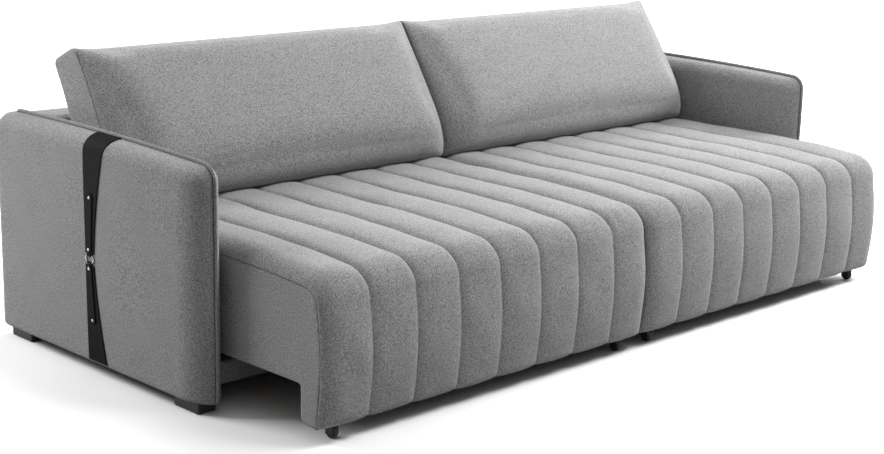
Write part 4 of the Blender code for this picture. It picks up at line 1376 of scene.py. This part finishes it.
def back_seams(name, cushion, place, half):
    """Thin seams round the boxed ends of a back cushion."""
    tree = surface_tree(cushion)
    lines = back_lines()
    for end, x in (("left", -half), ("right", half)):
        ring = back_ring(lines, x, half)[:len(lines[0])]
        ring = resample(ring[ring[:, 2] > END_SEAM_FOOT], SEAM_STEP)
        nearest = [tree.find_nearest(place @ Vector(point)) for point in ring]
        line = [spot + normal * END_SEAM_LIFT for spot, normal, _, _ in nearest]
        line = resample(line, END_SEAM_STEP, END_SEAM_PASSES)
        # The cord's dark grey is painted shade along the end seams.
        cord = tube(f"{name}_back_{end}_end_seam", line, SEAM_CORD_FINE)
        dress(cord, f"{name}_back", "fabric", SEAM_SHADOW_FABRIC)


def back_rear_panel(name, place, half):
    """Fabric panel over the rear of the back board, above the hinges."""
    wide = half - REAR_PANEL_INSET
    low, high = REAR_PANEL_FOOT, REAR_PANEL_TOP
    corners = [(-wide, low), (wide, low), (wide, high), (-wide, high), (-wide, low)]
    outline = resample(corners, REAR_PANEL_STEP)[:-1]
    turn = Matrix(((1, 0, 0, 0), (0, 0, 1, BACK_REAR + REAR_PANEL_GAP), (0, 1, 0, 0), (0, 0, 0, 1)))
    panel_name = f"{name}_back_rear_panel"
    panel = padded_panel(panel_name, outline, REAR_PANEL_PUFF, REAR_PANEL_ROUNDING, 90, place @ turn)
    dress(panel, f"{name}_back", "fabric", FABRIC)


def back_cushion(name, side, seat):
    """Filled back cushion with boxed ends, on its tilting frame."""
    node = f"{name}_back_cushion"
    low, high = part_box(node)
    half = (high.x - low.x) / 2 + BACK_WIDEN
    pivot = Vector(JOINTS[f"{name}_back_recline"]["pos_m"])
    pivot.x = (low.x + high.x) / 2
    place = Matrix.Translation(pivot) @ Matrix.Rotation(-BACK_LEAN, 4, "X")
    cushion = back_shell(f"{name}_filled_back_cushion", half)
    remesh(cushion, BACK_VOXEL)
    _, depth, height = coordinates(cushion).T
    held = (depth > BACK_REAR - BACK_BOARD - HELD_DEPTH) & (height < BACK_BOARD_TOP + HELD_RISE)
    held |= (depth > HINGE_ROOM[0]) & (height < HINGE_ROOM[1]) & (height > HINGE_ROOM[0])
    swell(cushion, held)
    points = coordinates(cushion)
    points[:, 0] = np.clip(points[:, 0], -half - BACK_SIDE_ROOM, half + BACK_SIDE_ROOM)
    set_coordinates(cushion, points)
    smooth = cushion.modifiers.new("Smooth", "SMOOTH")
    smooth.iterations = BACK_SMOOTH_PASSES
    smooth.factor = BACK_SMOOTH_SHARE
    divide = cushion.modifiers.new("Divide", "SUBSURF")
    divide.levels = 1
    divide.render_levels = 1
    apply_modifier(cushion)
    points = coordinates(cushion)
    normals = point_values(cushion.data, "normal")
    inset, *corner = GATHER_CORNER
    for end in (-1, 1):
        folds = gathers(points, (end * (half - inset), *corner), end, 95 + side + end)
        points -= normals * folds[:, None]
    set_coordinates(cushion, points)
    cushion.data.transform(place)
    rest_on_seat(cushion, seat)
    cushion.data.shade_smooth()
    dress(cushion, f"{name}_back", "fabric", FABRIC, node)
    back_seams(name, cushion, place, half)
    back_rear_panel(name, place, half)


# Finishes of the pieces that keep their built shape


def finish_built_pieces():
    """Give each piece that keeps its built shape the finish of what it is made of."""
    rules = (
        ("_foot", PLASTIC), ("_roller", PLASTIC), ("_caster_fork", STEEL), ("_slide_rail", STEEL),
        ("_roller_bracket", STEEL), ("_hinge_fixed_arm", STEEL), ("_hinge_moving_arm", STEEL),
        ("_seat_webbing", WEBBING), ("_arm_frame", TIMBER_ALONG_Y), ("base_middle_rail", TIMBER_ALONG_Y),
        ("_seat_frame", TIMBER_ALONG_X), ("_back_board", TIMBER_ALONG_X),
        ("low_back_frame", TIMBER_ALONG_X),
    )
    for node, item in NODES.items():
        for ending, finish in rules:
            if node.endswith(ending):
                item.data.materials.clear()
                item.data.materials.append(finish)


# Studio


def studio_floor():
    """White floor: bright to the eye, greyer for the light it throws back, pure white far from the sofa."""
    data = bpy.data.meshes.new("studio_floor")
    far = FLOOR_REACH
    corners = [(-far, -far, 0), (far, -far, 0), (far, far, 0), (-far, far, 0)]
    data.from_pydata(corners, [], [(0, 1, 2, 3)])
    floor = bpy.data.objects.new("studio_floor", data)
    bpy.context.scene.collection.objects.link(floor)
    paint = Finish("studio_floor", Roughness=1.0, Specular_IOR_Level=0.0, Emission_Strength=1.0)
    seen = light_seen(paint)
    place = paint.place()
    away = 0.0
    for axis, half in enumerate(FLOOR_SHADE):
        along_axis = paint.node("ShaderNodeSeparateXYZ", None, {"Vector": place}, axis)
        from_middle = paint.node("ShaderNodeMath", {"operation": "ABSOLUTE"}, {0: along_axis})
        beyond = paint.node("ShaderNodeMath", {"operation": "MAXIMUM"}, {0: from_middle - half, 1: 0.0})
        away = beyond * beyond + away
    settings = {"interpolation_type": "SMOOTHSTEP"}
    inputs = {"Value": away ** 0.5, "From Min": 0.0, "From Max": FLOOR_FADE}
    whitened = paint.node("ShaderNodeMapRange", settings, inputs) * seen
    data.materials.append(paint.set(
        Base_Color=paint.blend(seen, grey(FLOOR_BOUNCE), grey(FLOOR_TONE)),
        Emission_Color=paint.blend(whitened, grey(0.0), grey(1.0)),
    ))


def light_seen(finish):
    """1 for rays that show a surface to the eye, directly or in metal and glass."""
    straight = finish.node("ShaderNodeLightPath", output="Is Camera Ray")
    mirrored = finish.node("ShaderNodeLightPath", output="Is Glossy Ray")
    through = finish.node("ShaderNodeLightPath", output="Is Transmission Ray")
    settings = {"operation": "ADD", "use_clamp": True}
    return finish.node("ShaderNodeMath", settings, {0: straight + mirrored, 1: through})


def studio_light():
    """White surroundings with most light from above, and soft lamps."""
    scene = bpy.context.scene
    world = bpy.data.worlds.new("studio")
    world.use_nodes = True
    scene.world = world
    world.node_tree.nodes.clear()
    sky = Nodes(world.node_tree)
    seen = light_seen(sky)
    direction = sky.node("ShaderNodeTexCoord", output="Generated")
    up = sky.node("ShaderNodeSeparateXYZ", None, {"Vector": direction}, 2)
    height = sky.node("ShaderNodeMath", {"operation": "MAXIMUM"}, {0: up, 1: 0.0})
    strength = seen + (1 - seen) * (height * SKY_STRENGTH)
    glow = sky.node("ShaderNodeBackground", None, {"Color": (1, 1, 1, 1), "Strength": strength})
    sky.node("ShaderNodeOutputWorld", None, {"Surface": glow})
    for settings in LAMPS:
        lamp(*settings)


def lamp(name, place, target, width, depth, power):
    """Soft rectangular lamp turned to a target."""
    data = bpy.data.lights.new(name, "AREA")
    data.shape = "RECTANGLE"
    data.size = width
    data.size_y = depth
    data.energy = power
    item = bpy.data.objects.new(name, data)
    item.location = place
    item.rotation_euler = (Vector(target) - Vector(place)).to_track_quat("-Z", "Y").to_euler()
    bpy.context.scene.collection.objects.link(item)


def studio_camera():
    """Camera at the photograph's place and turn."""
    data = bpy.data.cameras.new("studio_camera")
    data.sensor_width = SENSOR_WIDTH
    data.lens = FOCAL_PIXELS / IMAGE_WIDTH * SENSOR_WIDTH
    level = math.cos(CAMERA_PITCH)
    ahead = Vector((math.sin(CAMERA_YAW) * level, math.cos(CAMERA_YAW) * level, -math.sin(CAMERA_PITCH)))
    right = Vector((math.cos(CAMERA_YAW), -math.sin(CAMERA_YAW), 0))
    up = right.cross(ahead)
    across = right * math.cos(CAMERA_ROLL) + up * math.sin(CAMERA_ROLL)
    upright = up * math.cos(CAMERA_ROLL) - right * math.sin(CAMERA_ROLL)
    turn = Matrix((across, upright, -ahead)).transposed().to_4x4()
    camera = bpy.data.objects.new("studio_camera", data)
    camera.matrix_world = Matrix.Translation(CAMERA_PLACE) @ turn
    bpy.context.scene.collection.objects.link(camera)
    bpy.context.scene.camera = camera


bpy.context.scene.view_settings.view_transform = "Standard"
studio_camera()
studio_light()
studio_floor()
finish_built_pieces()
low_back()
base_front_rail()
for side_name, side_sign in SIDES:
    arm_cover(side_name, side_sign)
    seat_piece = seat_cushion(side_name, side_sign)
    side_panels(side_name, side_sign)
    caster_wheels(side_name)
    back_cushion(side_name, side_sign, seat_piece)
